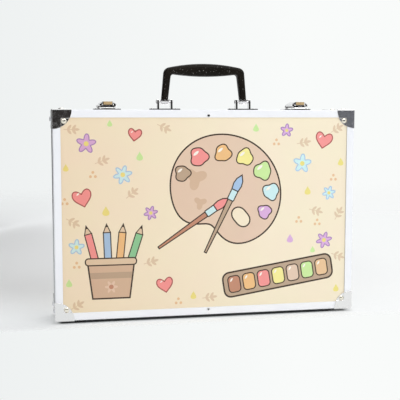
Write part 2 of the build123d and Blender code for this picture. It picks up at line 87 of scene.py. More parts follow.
# %% Colour and node helpers
MIX_BY, MIX_A, MIX_B, MIXED = 0, 6, 7, 2


def linear(code):
    """An sRGB hex code as the linear colour that a socket expects."""
    parts = [int(code[i:i + 2], 16) / 255 for i in (1, 3, 5)]
    return [p / 12.92 if p <= 0.04045 else ((p + 0.055) / 1.055) ** 2.4 for p in parts] + [1.0]


def add_node(tree, kind, settings=None, links=None):
    """Adds one node with its settings, and links its sockets to the outputs given."""
    made = tree.nodes.new(kind)
    for key, value in (settings or {}).items():
        if isinstance(key, str) and key.islower():
            setattr(made, key, value)
        else:
            made.inputs[key].default_value = value
    for key, source in (links or {}).items():
        tree.links.new(source, made.inputs[key])
    return made


def start_material(name, colour, roughness, metallic=0.0):
    """A material with its shader set, and the coordinates of the piece in metres to draw with."""
    material = bpy.data.materials.new(name)
    material.use_nodes = True
    tree = material.node_tree
    shader = tree.nodes["Principled BSDF"]
    shader.inputs["Base Color"].default_value = linear(colour)
    shader.inputs["Roughness"].default_value = roughness
    shader.inputs["Metallic"].default_value = metallic
    place = add_node(tree, "ShaderNodeTexCoord").outputs["Object"]
    return material, tree, shader, place


print("linear mid grey", round(linear("#808080")[0], 3))

# %% [markdown]
# ## Satin anodised aluminium
#
# The rails are pushed hot through a die and then anodised. The die leaves faint straight lines along
# each rail, and the oxide layer turns the mirror into a soft, almost white satin. A picture of brushed
# metal would do it, but noise that is stretched along the rail needs no picture and never repeats.
# The level and the upright rails need a stretch each. Real die lines are about 0.1 mm apart, which no
# render of the whole case can show, so they are drawn 0.9 mm apart and very weak.
#
# The walls at the far left and right are painted a mid grey, a painted shade that makes them read
# darker than the faces, and their surface turns half metal, told by the way the surface faces.

# %% Anodised aluminium, one stretch for each way a rail runs
DIE_LINE = 0.9 * MM
ALONG_RAIL = 120 * MM
CLOUD = 55.56 * MM  # slow changes of tone from the anodising bath
WHITE_OXIDE, SIDE_WALL_METALLIC = 0.12, 0.5  # how metallic each looks


def anodised_aluminium(name, along):
    """Satin aluminium whose die lines run along the axis given by its number."""
    material, tree, shader, place = start_material(name, "#F8F9FD", 0.42, WHITE_OXIDE)
    scale = [1 / DIE_LINE] * 3
    scale[along] = 1 / ALONG_RAIL
    stretched = add_node(tree, "ShaderNodeMapping", {"Scale": scale}, {"Vector": place})
    lines = add_node(tree, "ShaderNodeTexNoise", {"Scale": 1.0, "Detail": 3.0},
                     {"Vector": stretched.outputs["Vector"]})
    satin = add_node(tree, "ShaderNodeMapRange", {"To Min": 0.36, "To Max": 0.5},
                     {"Value": lines.outputs["Fac"]})
    tree.links.new(satin.outputs["Result"], shader.inputs["Roughness"])
    cloudy = add_node(tree, "ShaderNodeTexNoise", {"Scale": 1 / CLOUD, "Detail": 2.0}, {"Vector": place})
    tint = add_node(tree, "ShaderNodeMix",
                    {"data_type": "RGBA", MIX_A: linear("#F3F5FB"), MIX_B: linear("#FBFCFD")},
                    {MIX_BY: cloudy.outputs["Fac"]})
    facing = add_node(tree, "ShaderNodeTexCoord").outputs["Normal"]
    sideways = add_node(tree, "ShaderNodeSeparateXYZ", links={"Vector": facing})
    amount = add_node(tree, "ShaderNodeMath", {"operation": "ABSOLUTE"}, {0: sideways.outputs["X"]})
    on_side = add_node(tree, "ShaderNodeMapRange", {"From Min": 0.8, "From Max": 0.95},
                       {"Value": amount.outputs[0]}).outputs["Result"]
    # Painted shade: faces that look left or right are painted a mid grey.
    side_painted_shade = add_node(tree, "ShaderNodeMix", {"data_type": "RGBA", MIX_B: linear("#B2B5B8")},
                         {MIX_BY: on_side, MIX_A: tint.outputs[MIXED]})
    tree.links.new(side_painted_shade.outputs[MIXED], shader.inputs["Base Color"])
    side_metallic = add_node(tree, "ShaderNodeMapRange", {"To Min": WHITE_OXIDE, "To Max": SIDE_WALL_METALLIC},
                    {"Value": on_side})
    tree.links.new(side_metallic.outputs["Result"], shader.inputs["Metallic"])
    relief = add_node(tree, "ShaderNodeBump", {"Strength": 0.12, "Distance": 0.02 * MM},
                      {"Height": lines.outputs["Fac"]})
    tree.links.new(relief.outputs["Normal"], shader.inputs["Normal"])
    return material


ALUMINIUM_LEVEL = anodised_aluminium("anodised_aluminium_level", 0)
ALUMINIUM_UPRIGHT = anodised_aluminium("anodised_aluminium_upright", 2)
for node_name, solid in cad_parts.items():
    if "_rail_" in node_name:
        level = node_name.endswith(("top", "bottom"))
        solid.material_slots[0].material = ALUMINIUM_LEVEL if level else ALUMINIUM_UPRIGHT
print("rails dressed", sum("_rail_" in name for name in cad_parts))

# %% [markdown]
# ## Bright plated steel
#
# Protectors, brackets and latches are pressed from thin sheet steel and plated. Chrome is a near
# mirror: what the eye sees in it is the room, so its base colour is a plain light grey. Its character
# comes from a low roughness with small smears where it has been handled, and from the slight waviness
# that pressing leaves. A flat grey would look like paint, so both are drawn with noise. The rivets are
# nickel, a little warmer and softer. The tongue of each latch has a pale gold tone. A near-black steel
# finish is painted shade in hollows and a painted reflection of the dark room on front edges.

# %% Chrome, nickel, a gold tone and near-black painted shade
SMEAR, RIPPLE = 4.545 * MM, 11.11 * MM


def plated_steel(name, colour, smooth, smeared, wave, metallic=1.0):
    """Plated sheet: roughness runs from smooth to smeared, and wave is the height of its ripples in mm."""
    material, tree, shader, place = start_material(name, colour, smooth, metallic)
    smears = add_node(tree, "ShaderNodeTexNoise", {"Scale": 1 / SMEAR, "Detail": 4.0}, {"Vector": place})
    rub = add_node(tree, "ShaderNodeMapRange",
                   {"From Min": 0.42, "From Max": 0.72, "To Min": smooth, "To Max": smeared},
                   {"Value": smears.outputs["Fac"]})
    tree.links.new(rub.outputs["Result"], shader.inputs["Roughness"])
    ripples = add_node(tree, "ShaderNodeTexNoise", {"Scale": 1 / RIPPLE, "Detail": 1.0}, {"Vector": place})
    relief = add_node(tree, "ShaderNodeBump", {"Strength": 0.3, "Distance": wave * MM},
                      {"Height": ripples.outputs["Fac"]})
    tree.links.new(relief.outputs["Normal"], shader.inputs["Normal"])
    return material


CHROME = plated_steel("chrome_plated_steel", "#ECEBEB", 0.07, 0.2, 0.25)
NICKEL = plated_steel("nickel_plated_rivet", "#F0EADC", 0.1, 0.24, 0.12)
# A pale gold colour, laid on a patch of each latch tongue.
GOLD_TONE = plated_steel("pale_gold_steel", "#D6B888", 0.3, 0.45, 0.1, 0.4)
# Near black: painted shade in hollows, and a painted reflection of the dark room on front edges.
PAINTED_SHADE_AND_REFLECTION = plated_steel("steel_painted_with_shade_and_reflection", "#1B1A19", 0.35, 0.5, 0.1, 0.3)
print("plated finishes", CHROME.name, NICKEL.name, GOLD_TONE.name, PAINTED_SHADE_AND_REFLECTION.name)

# %% [markdown]
# ## Black moulded plastic
#
# The grip is black plastic from a mould with a fine leather-like grain. The grain could be cut into the
# mesh, but bump costs nothing and is as good at this size. Grain is a net of small domes, which a
# Voronoi pattern gives, drawn 1.5 mm apart where real grain is about 0.8 mm, so that it still shows
# from a metre away. Hands polish it in places, and fine pale flecks mark it, partly scuff marks and partly
# painted glints, drawn about 1.6 mm wide so that they show at all.

# %% Black grip plastic
GRAIN = 1.5 * MM
WEAR, SCUFF_AND_GLINT = 22.22 * MM, 1.613 * MM
GRIP_PLASTIC, tree, shader, place = start_material("grained_black_plastic", "#141210", 0.3)
shader.inputs["Specular IOR Level"].default_value = 0.07
cells = add_node(tree, "ShaderNodeTexVoronoi", {"Scale": 1 / GRAIN}, {"Vector": place})
grain = add_node(tree, "ShaderNodeBump", {"Strength": 0.7, "Distance": 0.2 * MM, "invert": True},
                 {"Height": cells.outputs["Distance"]})
tree.links.new(grain.outputs["Normal"], shader.inputs["Normal"])
worn = add_node(tree, "ShaderNodeTexNoise", {"Scale": 1 / WEAR, "Detail": 3.0}, {"Vector": place})
gloss = add_node(tree, "ShaderNodeMapRange", {"To Min": 0.25, "To Max": 0.42}, {"Value": worn.outputs["Fac"]})
tree.links.new(gloss.outputs["Result"], shader.inputs["Roughness"])
shade = add_node(tree, "ShaderNodeMix",
                 {"data_type": "RGBA", MIX_A: linear("#0D0C0A"), MIX_B: linear("#241F19")},
                 {MIX_BY: worn.outputs["Fac"]})
# Pale flecks: partly scuff marks, partly painted glints.
scuff_and_glint_noise = add_node(tree, "ShaderNodeTexNoise", {"Scale": 1 / SCUFF_AND_GLINT, "Detail": 1.0}, {"Vector": place})
scuffed_and_glinting = add_node(tree, "ShaderNodeMapRange", {"From Min": 0.67, "From Max": 0.82},
                   {"Value": scuff_and_glint_noise.outputs["Fac"]})
marked = add_node(tree, "ShaderNodeMix", {"data_type": "RGBA", MIX_B: linear("#8E8A86")},
                  {MIX_BY: scuffed_and_glinting.outputs["Result"], MIX_A: shade.outputs[MIXED]})
tree.links.new(marked.outputs[MIXED], shader.inputs["Base Color"])
print("grain in mm", GRAIN / MM)

# %% [markdown]
# ## Formed styrene and rubber
#
# The trays are thin styrene sheet, drawn hot over a form, so they are satin and faintly uneven. The
# feet are black rubber, dull and a little dusty. Both could be the grip's material in other colours,
# but what makes each read as itself is its own relief, so each gets a short tree of its own.

# %% Formed styrene and rubber
DRAW_MARK, DUST = 16.67 * MM, 2.5 * MM
STYRENE, tree, shader, place = start_material("formed_styrene_sheet", "#E6E0D8", 0.45)
uneven = add_node(tree, "ShaderNodeTexNoise", {"Scale": 1 / DRAW_MARK, "Detail": 2.0}, {"Vector": place})
drawn = add_node(tree, "ShaderNodeBump", {"Strength": 0.2, "Distance": 0.15 * MM},
                 {"Height": uneven.outputs["Fac"]})
tree.links.new(drawn.outputs["Normal"], shader.inputs["Normal"])
thin = add_node(tree, "ShaderNodeMix",
                {"data_type": "RGBA", MIX_A: linear("#DED7CD"), MIX_B: linear("#EFEAE3")},
                {MIX_BY: uneven.outputs["Fac"]})
tree.links.new(thin.outputs[MIXED], shader.inputs["Base Color"])

RUBBER, tree, shader, place = start_material("black_rubber", "#242322", 0.75)
dust = add_node(tree, "ShaderNodeTexNoise", {"Scale": 1 / DUST, "Detail": 5.0}, {"Vector": place})
dusty = add_node(tree, "ShaderNodeMix",
                 {"data_type": "RGBA", MIX_A: linear("#1B1A1A"), MIX_B: linear("#3A3836")},
                 {MIX_BY: dust.outputs["Fac"]})
tree.links.new(dusty.outputs[MIXED], shader.inputs["Base Color"])
pores = add_node(tree, "ShaderNodeBump", {"Strength": 0.4, "Distance": 0.05 * MM},
                 {"Height": dust.outputs["Fac"]})
tree.links.new(pores.outputs["Normal"], shader.inputs["Normal"])
print("moulded finishes", GRIP_PLASTIC.name, STYRENE.name, RUBBER.name)

# %% [markdown]
# ## Printed film on hardboard
#
# Each face is a hardboard panel with a plastic film pressed on it. The film carries the print, so its
# colour comes from the mesh: every face of the print has an ink, stored as a colour attribute, which
# stays sharp where a picture would blur. Over the inks lies a faint painted reflection of the room in
# soft patches, and painted light makes the cream lighter from left to right. The board's back and edges
# are brown pressed fibre, whose strands of a few tenths of a millimetre are drawn 1.1 mm long.

# %% Printed film and hardboard
ROOM_REFLECTION_PATCH, ORANGE_PEEL, FIBRE = 38.46 * MM, 3.125 * MM, 1.111 * MM
# Painted light: the film is painted lighter from DEEPER_AT to LIGHTER_AT, towards the key lamp.
DEEPER_AT, LIGHTER_AT = -0.2, 0.08  # across the board, in metres
FILM, tree, shader, place = start_material("printed_film", "#F0E1C9", 0.36)
ink = add_node(tree, "ShaderNodeAttribute", {"attribute_name": "ink"})
across = add_node(tree, "ShaderNodeSeparateXYZ", links={"Vector": place})
side = add_node(tree, "ShaderNodeMapRange", {"From Min": DEEPER_AT, "From Max": LIGHTER_AT},
                {"Value": across.outputs["X"]})
painted_light_ramp = add_node(tree, "ShaderNodeMix",
                {"data_type": "RGBA", MIX_A: linear("#F7EDE5"), MIX_B: linear("#FFFFFF")},
                {MIX_BY: side.outputs["Result"]})
toned = add_node(tree, "ShaderNodeMix", {"data_type": "RGBA", "blend_type": "MULTIPLY", MIX_BY: 1.0},
                 {MIX_A: ink.outputs["Color"], MIX_B: painted_light_ramp.outputs[MIXED]})
# Painted reflection of the room, in soft patches.
patches = add_node(tree, "ShaderNodeTexNoise", {"Scale": 1 / ROOM_REFLECTION_PATCH, "Detail": 1.0, "Roughness": 0.4},
                   {"Vector": place})
painted_reflection = add_node(tree, "ShaderNodeMix",
                 {"data_type": "RGBA", MIX_A: linear("#FFF6EF"), MIX_B: linear("#FBFFEC")},
                 {MIX_BY: patches.outputs["Fac"]})
inks_with_painted_reflection = add_node(tree, "ShaderNodeMix", {"data_type": "RGBA", "blend_type": "MULTIPLY", MIX_BY: 0.6},
                  {MIX_A: toned.outputs[MIXED], MIX_B: painted_reflection.outputs[MIXED]})
tree.links.new(inks_with_painted_reflection.outputs[MIXED], shader.inputs["Base Color"])
peel = add_node(tree, "ShaderNodeTexNoise", {"Scale": 1 / ORANGE_PEEL, "Detail": 2.0}, {"Vector": place})
skin = add_node(tree, "ShaderNodeBump", {"Strength": 0.15, "Distance": 0.05 * MM},
                {"Height": peel.outputs["Fac"]})
tree.links.new(skin.outputs["Normal"], shader.inputs["Normal"])

HARDBOARD, tree, shader, place = start_material("pressed_hardboard", "#8A6A48", 0.8)
fibre = add_node(tree, "ShaderNodeTexNoise", {"Scale": 1 / FIBRE, "Detail": 4.0}, {"Vector": place})
brown = add_node(tree, "ShaderNodeMix",
                 {"data_type": "RGBA", MIX_A: linear("#6E5236"), MIX_B: linear("#A1805A")},
                 {MIX_BY: fibre.outputs["Fac"]})
tree.links.new(brown.outputs[MIXED], shader.inputs["Base Color"])
print("board finishes", FILM.name, HARDBOARD.name)

# %% [markdown]
# ## Making a piece
#
# Every piece ends in the same way: the mesh becomes an object with its materials, it rides on the body
# of the case that carries it, and the measured solids it stands for are hidden. Shading is smooth, with
# real corners kept sharp by their angle. Large flats lead the shading of the narrow faces beside them,
# which keeps mirrors flat, and the Weighted Normal modifier does exactly that.

# %% Finish a piece
def make_piece(name, form, body, materials, stands_for, sharp_above=35.0):
    """Turns a bmesh into a named piece on its body, in place of the measured solids it stands for."""
    mesh = bpy.data.meshes.new(name)
    form.to_mesh(mesh)
    form.free()
    for material in materials:
        mesh.materials.append(material)
    mesh.shade_smooth()
    mesh.set_sharp_from_angle(angle=math.radians(sharp_above))
    made = bpy.data.objects.new(name, mesh)
    bpy.context.scene.collection.objects.link(made)
    made.modifiers.new("flats_stay_flat", "WEIGHTED_NORMAL").keep_sharp = True
    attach(made, body)
    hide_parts(*stands_for)
    print(name, "faces", len(mesh.polygons))


# %% [markdown]
# ## Pressed steel has no knife edges
#
# The measured protectors, plates and levers are right in size, but their edges are perfectly sharp,
# and sheet metal never is: bending and tumbling leave a radius of a few tenths of a millimetre, and
# that radius is what catches the light. A Bevel modifier could round them, but it trips over the many
# flat triangles of a measured solid. So we copy each solid, join its triangles into whole faces, and
# bevel only the edges that are sharper than a small angle.

# %% Round the edges of a copy
WELD = 0.002 * MM
ONE_FACE, SHARP_FROM = 1.0, 28.0  # degrees between two faces


def rounded_copy(node_name, radius, steps=2, bends=()):
    """A copy of a measured solid with its sharp edges rounded to a radius in mm.

    Each bend (angle, reach) first turns edges that run from front to back, and bend by about that many
    degrees, into arcs that start that many mm from the edge.
    """
    form = bmesh.new()
    form.from_mesh(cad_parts[node_name].data)
    bmesh.ops.remove_doubles(form, verts=form.verts, dist=WELD)
    bmesh.ops.dissolve_limit(form, angle_limit=math.radians(ONE_FACE), verts=form.verts, edges=form.edges)
    for angle, reach in bends:
        upright = [e for e in form.edges
                   if e.is_manifold and abs(math.degrees(e.calc_face_angle(0.0)) - angle) < 5
                   and abs((e.verts[0].co - e.verts[1].co).normalized().y) > 0.9]
        bmesh.ops.bevel(form, geom=upright, offset=reach * MM, segments=3, profile=0.5, affect="EDGES",
                        clamp_overlap=True)
    sharp = [e for e in form.edges if e.is_manifold and e.calc_face_angle(0.0) > math.radians(SHARP_FROM)]
    bmesh.ops.bevel(form, geom=sharp, offset=radius * MM, segments=steps, profile=0.6, affect="EDGES",
                    clamp_overlap=True)
    return form


for node_name in sorted(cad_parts):
    if "_corner_" in node_name and "rivets" not in node_name:
        make_piece(node_name + "_pressed", rounded_copy(node_name, 0.3, 3), node_name.split("_")[0],
                   [CHROME], [node_name])
print("pressed protectors done")

# %% [markdown]
# ## Turning round parts
#
# Rivets, pins and feet are turned or headed: their shape is one profile spun about an axis. Blender's
# Screw modifier spins a profile too, but a small lathe function of our own lets the profile be a plain
# list of (radius, height) pairs in millimetres. A second function lays the result along any direction
# at any point.

# %% A lathe
def lathe(profile, steps=28):
    """Spins a profile of (radius, height) in mm about +Z; the profile starts and ends on the axis."""
    form = bmesh.new()
    rings = []
    for radius, height in profile:
        count = steps if radius > 0 else 1
        rings.append([form.verts.new((radius * MM * math.cos(2 * math.pi * k / steps),
                                      radius * MM * math.sin(2 * math.pi * k / steps), height * MM))
                      for k in range(count)])
    for low, high in zip(rings, rings[1:]):
        for k in range(steps):
            corners = [low[k % len(low)], low[(k + 1) % len(low)], high[(k + 1) % len(high)],
                       high[k % len(high)]]
            form.faces.new(list(dict.fromkeys(corners)))
    bmesh.ops.recalc_face_normals(form, faces=form.faces)
    return form


def laid(form, point, direction):
    """Moves a turned form to a point, with its +Z along the direction."""
    turn = Vector((0, 0, 1)).rotation_difference(Vector(direction)).to_matrix()
    for vert in form.verts:
        vert.co = turn @ vert.co + Vector(point)
    return form


print("lathe ready")

# %% [markdown]
# ## Nickel rivets
#
# The measured solids hold a plain stub where each rivet's head goes, and each of four solids holds a
# whole set of them. Their places could be typed in, but it is safer to read them: from each corner that
# isn't in a stub yet, we follow the edges until no new corner turns up, and keep the box round them.
# Going through the corners in their own order gives the stubs in the same order in each run.

# %% Find the separate stubs
def separate_boxes(node_name):
    """The box of each loose island of a measured solid, as (lowest corner, highest corner)."""
    form = bmesh.new()
    form.from_mesh(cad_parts[node_name].data)
    bmesh.ops.remove_doubles(form, verts=form.verts, dist=WELD)
    found, boxes = set(), []
    for first in form.verts:
        if first in found:
            continue
        found.add(first)
        island, to_follow = [], [first]
        while to_follow:
            vert = to_follow.pop()
            island.append(vert.co.copy())
            for link in vert.link_edges:
                other = link.other_vert(vert)
                if other not in found:
                    found.add(other)
                    to_follow.append(other)
        boxes.append((Vector(map(min, zip(*island))), Vector(map(max, zip(*island)))))
    form.free()
    return boxes


print("stubs of the lid's fittings", len(separate_boxes("lid_fitting_rivets")))

# %% [markdown]
# A rivet's head is a low dome with a rolled foot, and the small tubular ones in the flanges are flatter,
# with a bore in the middle that is painted near black as painted shade. A stub's box tells where the
# head sits, how wide it is and which way it faces. We turn a head of that size there, and join the heads of
# one solid into one piece.

# %% Domed heads in place of the stubs
def joined(forms):
    """Several forms as one."""
    whole = bmesh.new()
    for form in forms:
        part = bpy.data.meshes.new("part")
        form.to_mesh(part)
        form.free()
        whole.from_mesh(part)
        bpy.data.meshes.remove(part)
    return whole


# Head profiles as shares of the radius and the height.
DOME = [(0, 0), (0.97, 0), (1.0, 0.12), (0.97, 0.3), (0.86, 0.55), (0.68, 0.78), (0.46, 0.92), (0.22, 0.99),
        (0, 1.0)]
TUBULAR = [(0, 0), (0.97, 0), (1.0, 0.2), (0.97, 0.55), (0.88, 0.85), (0.76, 0.98), (0.66, 1.0), (0.5, 1.0),
           (0.44, 0.5), (0, 0.45)]
SMALL_RIVET = 2.6  # mm, the radius below which a rivet is a tubular one
BORE = 0.49  # share of the radius
MIDDLE = Vector(((cad_low.x + cad_high.x) / 2, (cad_low.y + cad_high.y) / 2, 0.1394))  # without the handle
FINISHES = [NICKEL, CHROME, ALUMINIUM_UPRIGHT, PAINTED_SHADE_AND_REFLECTION]
for node_name in ("lid_corner_rivets", "base_corner_rivets", "lid_fitting_rivets", "base_fitting_rivets"):
    heads = []
    for low, high in separate_boxes(node_name):
        size, centre = high - low, (low + high) / 2
        axis = min(range(3), key=lambda k: size[k])
        facing = math.copysign(1.0, centre[axis] - MIDDLE[axis])
        direction = Vector([facing if k == axis else 0.0 for k in range(3)])
        radius, height = max(size) / 2 / MM, size[axis] / MM
        tubular = radius < SMALL_RIVET
        head = lathe([(r * radius, h * height) for r, h in (TUBULAR if tubular else DOME)])
        for face in head.faces:
            # Bores are painted near black as shade; heads on the side walls take the aluminium with its
            # painted side shade.
            in_painted_shade_bore = tubular and (face.calc_center_median() / MM).xy.length < BORE * radius
            finish = ALUMINIUM_UPRIGHT if axis == 0 else CHROME if tubular else NICKEL
            face.material_index = FINISHES.index(PAINTED_SHADE_AND_REFLECTION if in_painted_shade_bore else finish)
        heads.append(laid(head, centre - direction * size[axis] / 2, direction))
    make_piece(node_name + "_domed", joined(heads), node_name.split("_")[0], FINISHES,
               [node_name])

# %% [markdown]
# ## The handle grip
#
# The grip is one moulding: two legs that lean inwards, a rounded corner, and a bar that swells in the
# middle so that it fills the hand. A box with a Subdivision modifier gives such a form quickly, but not
# to the millimetre. So we draw its outer and its inner outline as matched rows of points, seen from the
# front, and fill them in afterwards.

# %% Outlines of the grip
grip_low, grip_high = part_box("handle_grip")
HANDLE_TOP, LEG_BOTTOM = grip_high.z / MM, grip_low.z / MM
LEG_OUT, LEG_IN = grip_high.x / MM, grip_high.x / MM - 8.8
OUT_SHOULDER = (LEG_OUT - 3.8, HANDLE_TOP - 6.4)
IN_SHOULDER = (LEG_IN - 3.8, HANDLE_TOP - 13.8)
OUT_ROUND, IN_ROUND = 8.5, 4.0
BAR_BOTTOM = HANDLE_TOP - 17.0


def corner_arc(before, corner, after, radius, count):
    """Points of the arc that rounds a corner between two runs."""
    to_before = (Vector(before) - Vector(corner)).normalized()
    to_after = (Vector(after) - Vector(corner)).normalized()
    half = to_before.angle(to_after) / 2
    centre = Vector(corner) + (to_before + to_after).normalized() * radius / math.sin(half)
    start = Vector(corner) + to_before * radius / math.tan(half) - centre
    end = Vector(corner) + to_after * radius / math.tan(half) - centre
    whole = start.angle(end)
    return [centre + (start * math.sin((1 - t) * whole) + end * math.sin(t * whole)) / math.sin(whole)
            for t in [k / (count - 1) for k in range(count)]]


def half_outline(leg_x, shoulder, crown, radius):
    """One outline of the grip from the foot of a leg to the middle of the bar."""
    foot = (leg_x, LEG_BOTTOM)
    rise = crown - shoulder[1]
    bar_line = [(shoulder[0] * t, crown - rise * t * t) for t in (0.8, 0.6, 0.45, 0.3, 0.15, 0.0)]
    bend = corner_arc(foot, shoulder, bar_line[0], radius, 9)
    leg = [Vector(foot).lerp(bend[0], t) for t in (0.0, 0.02, 0.25, 0.5, 0.75)]
    return leg + bend + [Vector(p) for p in bar_line]


outer = half_outline(LEG_OUT, OUT_SHOULDER, HANDLE_TOP, OUT_ROUND)
inner = half_outline(LEG_IN, IN_SHOULDER, BAR_BOTTOM, IN_ROUND)
pairs = list(zip(outer, inner))
pairs += [(Vector((-o.x, o.y)), Vector((-i.x, i.y))) for o, i in reversed(pairs[:-1])]
print("pairs of outline points", len(pairs))

# %% [markdown]
# Between each pair of points we lay one section and join it to the last. Halfway between a circle and a
# box, a so-called superellipse, is the section such mouldings have, and it grows deeper from the feet
# to the bar, which has to fill a hand.

# %% Sections of the grip
HALF_DEPTH_FOOT, HALF_DEPTH_TOP = 6.6, 9.4
ROUND_POINTS, SQUARENESS = 28, 0.62  # 1.0 would be round and 0.0 a box
form = bmesh.new()
rings = []
for outer_point, inner_point in pairs:
    centre, half = (outer_point + inner_point) / 2, (outer_point - inner_point) / 2
    rise = (centre.y - LEG_BOTTOM) / (HANDLE_TOP - LEG_BOTTOM)
    depth = HALF_DEPTH_FOOT + (HALF_DEPTH_TOP - HALF_DEPTH_FOOT) * min(1.0, rise * 1.15)
    ring = []
    for k in range(ROUND_POINTS):
        turn = 2 * math.pi * k / ROUND_POINTS
        across_part = math.copysign(abs(math.cos(turn)) ** SQUARENESS, math.cos(turn))
        depth_part = math.copysign(abs(math.sin(turn)) ** SQUARENESS, math.sin(turn))
        spot = centre + half * across_part
        ring.append(form.verts.new((spot.x * MM, depth * depth_part * MM, spot.y * MM)))
    rings.append(ring)
for low, high in zip(rings, rings[1:]):
    for k in range(ROUND_POINTS):
        after = (k + 1) % ROUND_POINTS
        form.faces.new((low[k], low[after], high[after], high[k]))
form.faces.new(rings[0])
form.faces.new(list(reversed(rings[-1])))
bmesh.ops.recalc_face_normals(form, faces=form.faces)
make_piece("handle_grip_moulded", form, "handle", [GRIP_PLASTIC], ["handle_grip"], 60)

# %% [markdown]
# ## Handle hardware
#
# Each leg ends in a chrome eye that turns on a pin between the two ears of a bracket. The pin is a
# turned bar with a low domed head at each end. As both ends are alike, only one is written down, and
# the lathe gets it twice, the second time in reverse.

# %% Turned pins
def turned_pin(node_name, head, shank, steps=20):
    """A chrome pin along X on the base: head is its end as (radius, depth) from the tip inwards."""
    low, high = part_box(node_name)
    half = (high.x - low.x) / 2 / MM
    end = [(0, 0)] + head + [(shank, head[-1][1])]
    profile = [(r, d - half) for r, d in end] + [(r, half - d) for r, d in reversed(end)]
    make_piece(node_name + "_turned", laid(lathe(profile, steps), (low + high) / 2, (1, 0, 0)), "base",
               [CHROME], [node_name])


print("pin maker ready")

# %% [markdown]
# The eye and the bracket are castings and pressings, so they get rounded copies. A base plate's front
# edge mirrors the dark room and shows as a black line, a little stronger in the photograph than a
# 1.2 mm plate gives, so the plates are drawn 0.4 mm thicker, and the front faces of the plates and of
# the ears are painted near black, a painted reflection of the dark room.

# %% Eyes, brackets and their pins
BRACKET_SHEET, BRACKET_MORE = 1.2, 0.4
TALL_AS_THE_EARS = 20.0


def thickened(node_name, radius, top_face, more, dark_to=0.0):
    """A rounded copy whose base plate, with its top face at the given height in mm, is more mm thick.

    Front edges of the sheet that end less than dark_to mm above the plate get the second material, a painted
    dark reflection.
    """
    form = rounded_copy(node_name, radius)
    for corner in form.verts:
        if -0.1 < corner.co.z / MM - top_face < 0.05:
            corner.co.z += more * MM
    form.normal_update()
    for face in form.faces:
        end = max(corner.co.z for corner in face.verts) / MM - top_face - more
        if face.normal.y < -0.7 and end < dark_to + 0.05:
            face.material_index = 1
    return form


for side_name in ("left", "right"):
    eye, bracket, pin = (f"handle_{part}_{side_name}" for part in ("eye", "bracket", "pin"))
    make_piece(eye + "_cast", rounded_copy(eye, 0.5, 3), "handle", [CHROME], [eye])
    plate_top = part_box(bracket)[0].z / MM + BRACKET_SHEET
    form = thickened(bracket, 0.06, plate_top, BRACKET_MORE, TALL_AS_THE_EARS)
    make_piece(bracket + "_pressed", form, "base", [CHROME, PAINTED_SHADE_AND_REFLECTION], [bracket])
    turned_pin(pin, [(1.5, 0), (2.3, 0.3), (2.6, 0.8), (2.5, 1.2)], 1.8, 28)

# %% [markdown]
# ## Latches
#
# A latch is a plate with two ears, a lever folded from sheet, and a catch on the lid. All three are
# pressings of 1 mm sheet, so they too are rounded copies, with plates drawn 0.3 mm thicker. The catch's
# lip is bent up from its plate, so a hollow curve runs along its foot and catches the light from above.
# It is a straight bar with a drawn section, which a small function makes.

# %% Latch plates and catches
LATCH_SHEET, LATCH_MORE = 1.0, 0.3
LIP_BEND = 2.2


def bar(section, start, end, spot):
    """A straight bar in mm: spot turns the section's two sizes and the run into a point."""
    form = bmesh.new()
    rings = [[form.verts.new(Vector(spot(u, v, run)) * MM) for u, v in section] for run in (start, end)]
    for k in range(len(section)):
        form.faces.new((rings[0][k - 1], rings[0][k], rings[1][k], rings[1][k - 1]))
    for ring in rings:
        form.faces.new(ring)
    bmesh.ops.recalc_face_normals(form, faces=form.faces)
    return form


# The front edges of the latch plates and catches, like the brackets', are painted near black as a painted
# reflection of the dark room.
for side_name in ("left", "right"):
    node_name = f"latch_plate_{side_name}"
    plate_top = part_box(node_name)[0].z / MM + LATCH_SHEET
    make_piece(node_name + "_pressed", thickened(node_name, 0.07, plate_top, LATCH_MORE), "base",
               [CHROME, PAINTED_SHADE_AND_REFLECTION], [node_name])

    node_name = f"latch_catch_{side_name}"
    low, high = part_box(node_name)
    plate_top = low.z / MM + LATCH_SHEET
    foot = plate_top + LATCH_MORE
    lip = [v.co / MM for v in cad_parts[node_name].data.vertices if v.co.z > high.z - 0.1 * MM]
    front, lip_left, lip_right = min(p.y for p in lip), min(p.x for p in lip), max(p.x for p in lip)
    curve = [(front - LIP_BEND + LIP_BEND * math.cos(t), foot + LIP_BEND - LIP_BEND * math.sin(t))
             for t in [math.pi / 2 * k / 8 for k in range(9)]]
    hollow = bar(curve + [(front + 0.2, foot - 0.1), (front + 0.2, foot + LIP_BEND)], lip_left + 0.15,
                 lip_right - 0.15, lambda u, v, run: (run, u, v))
    form = joined([thickened(node_name, 0.07, plate_top, LATCH_MORE), hollow])
    make_piece(node_name + "_pressed", form, "lid", [CHROME, PAINTED_SHADE_AND_REFLECTION], [node_name])
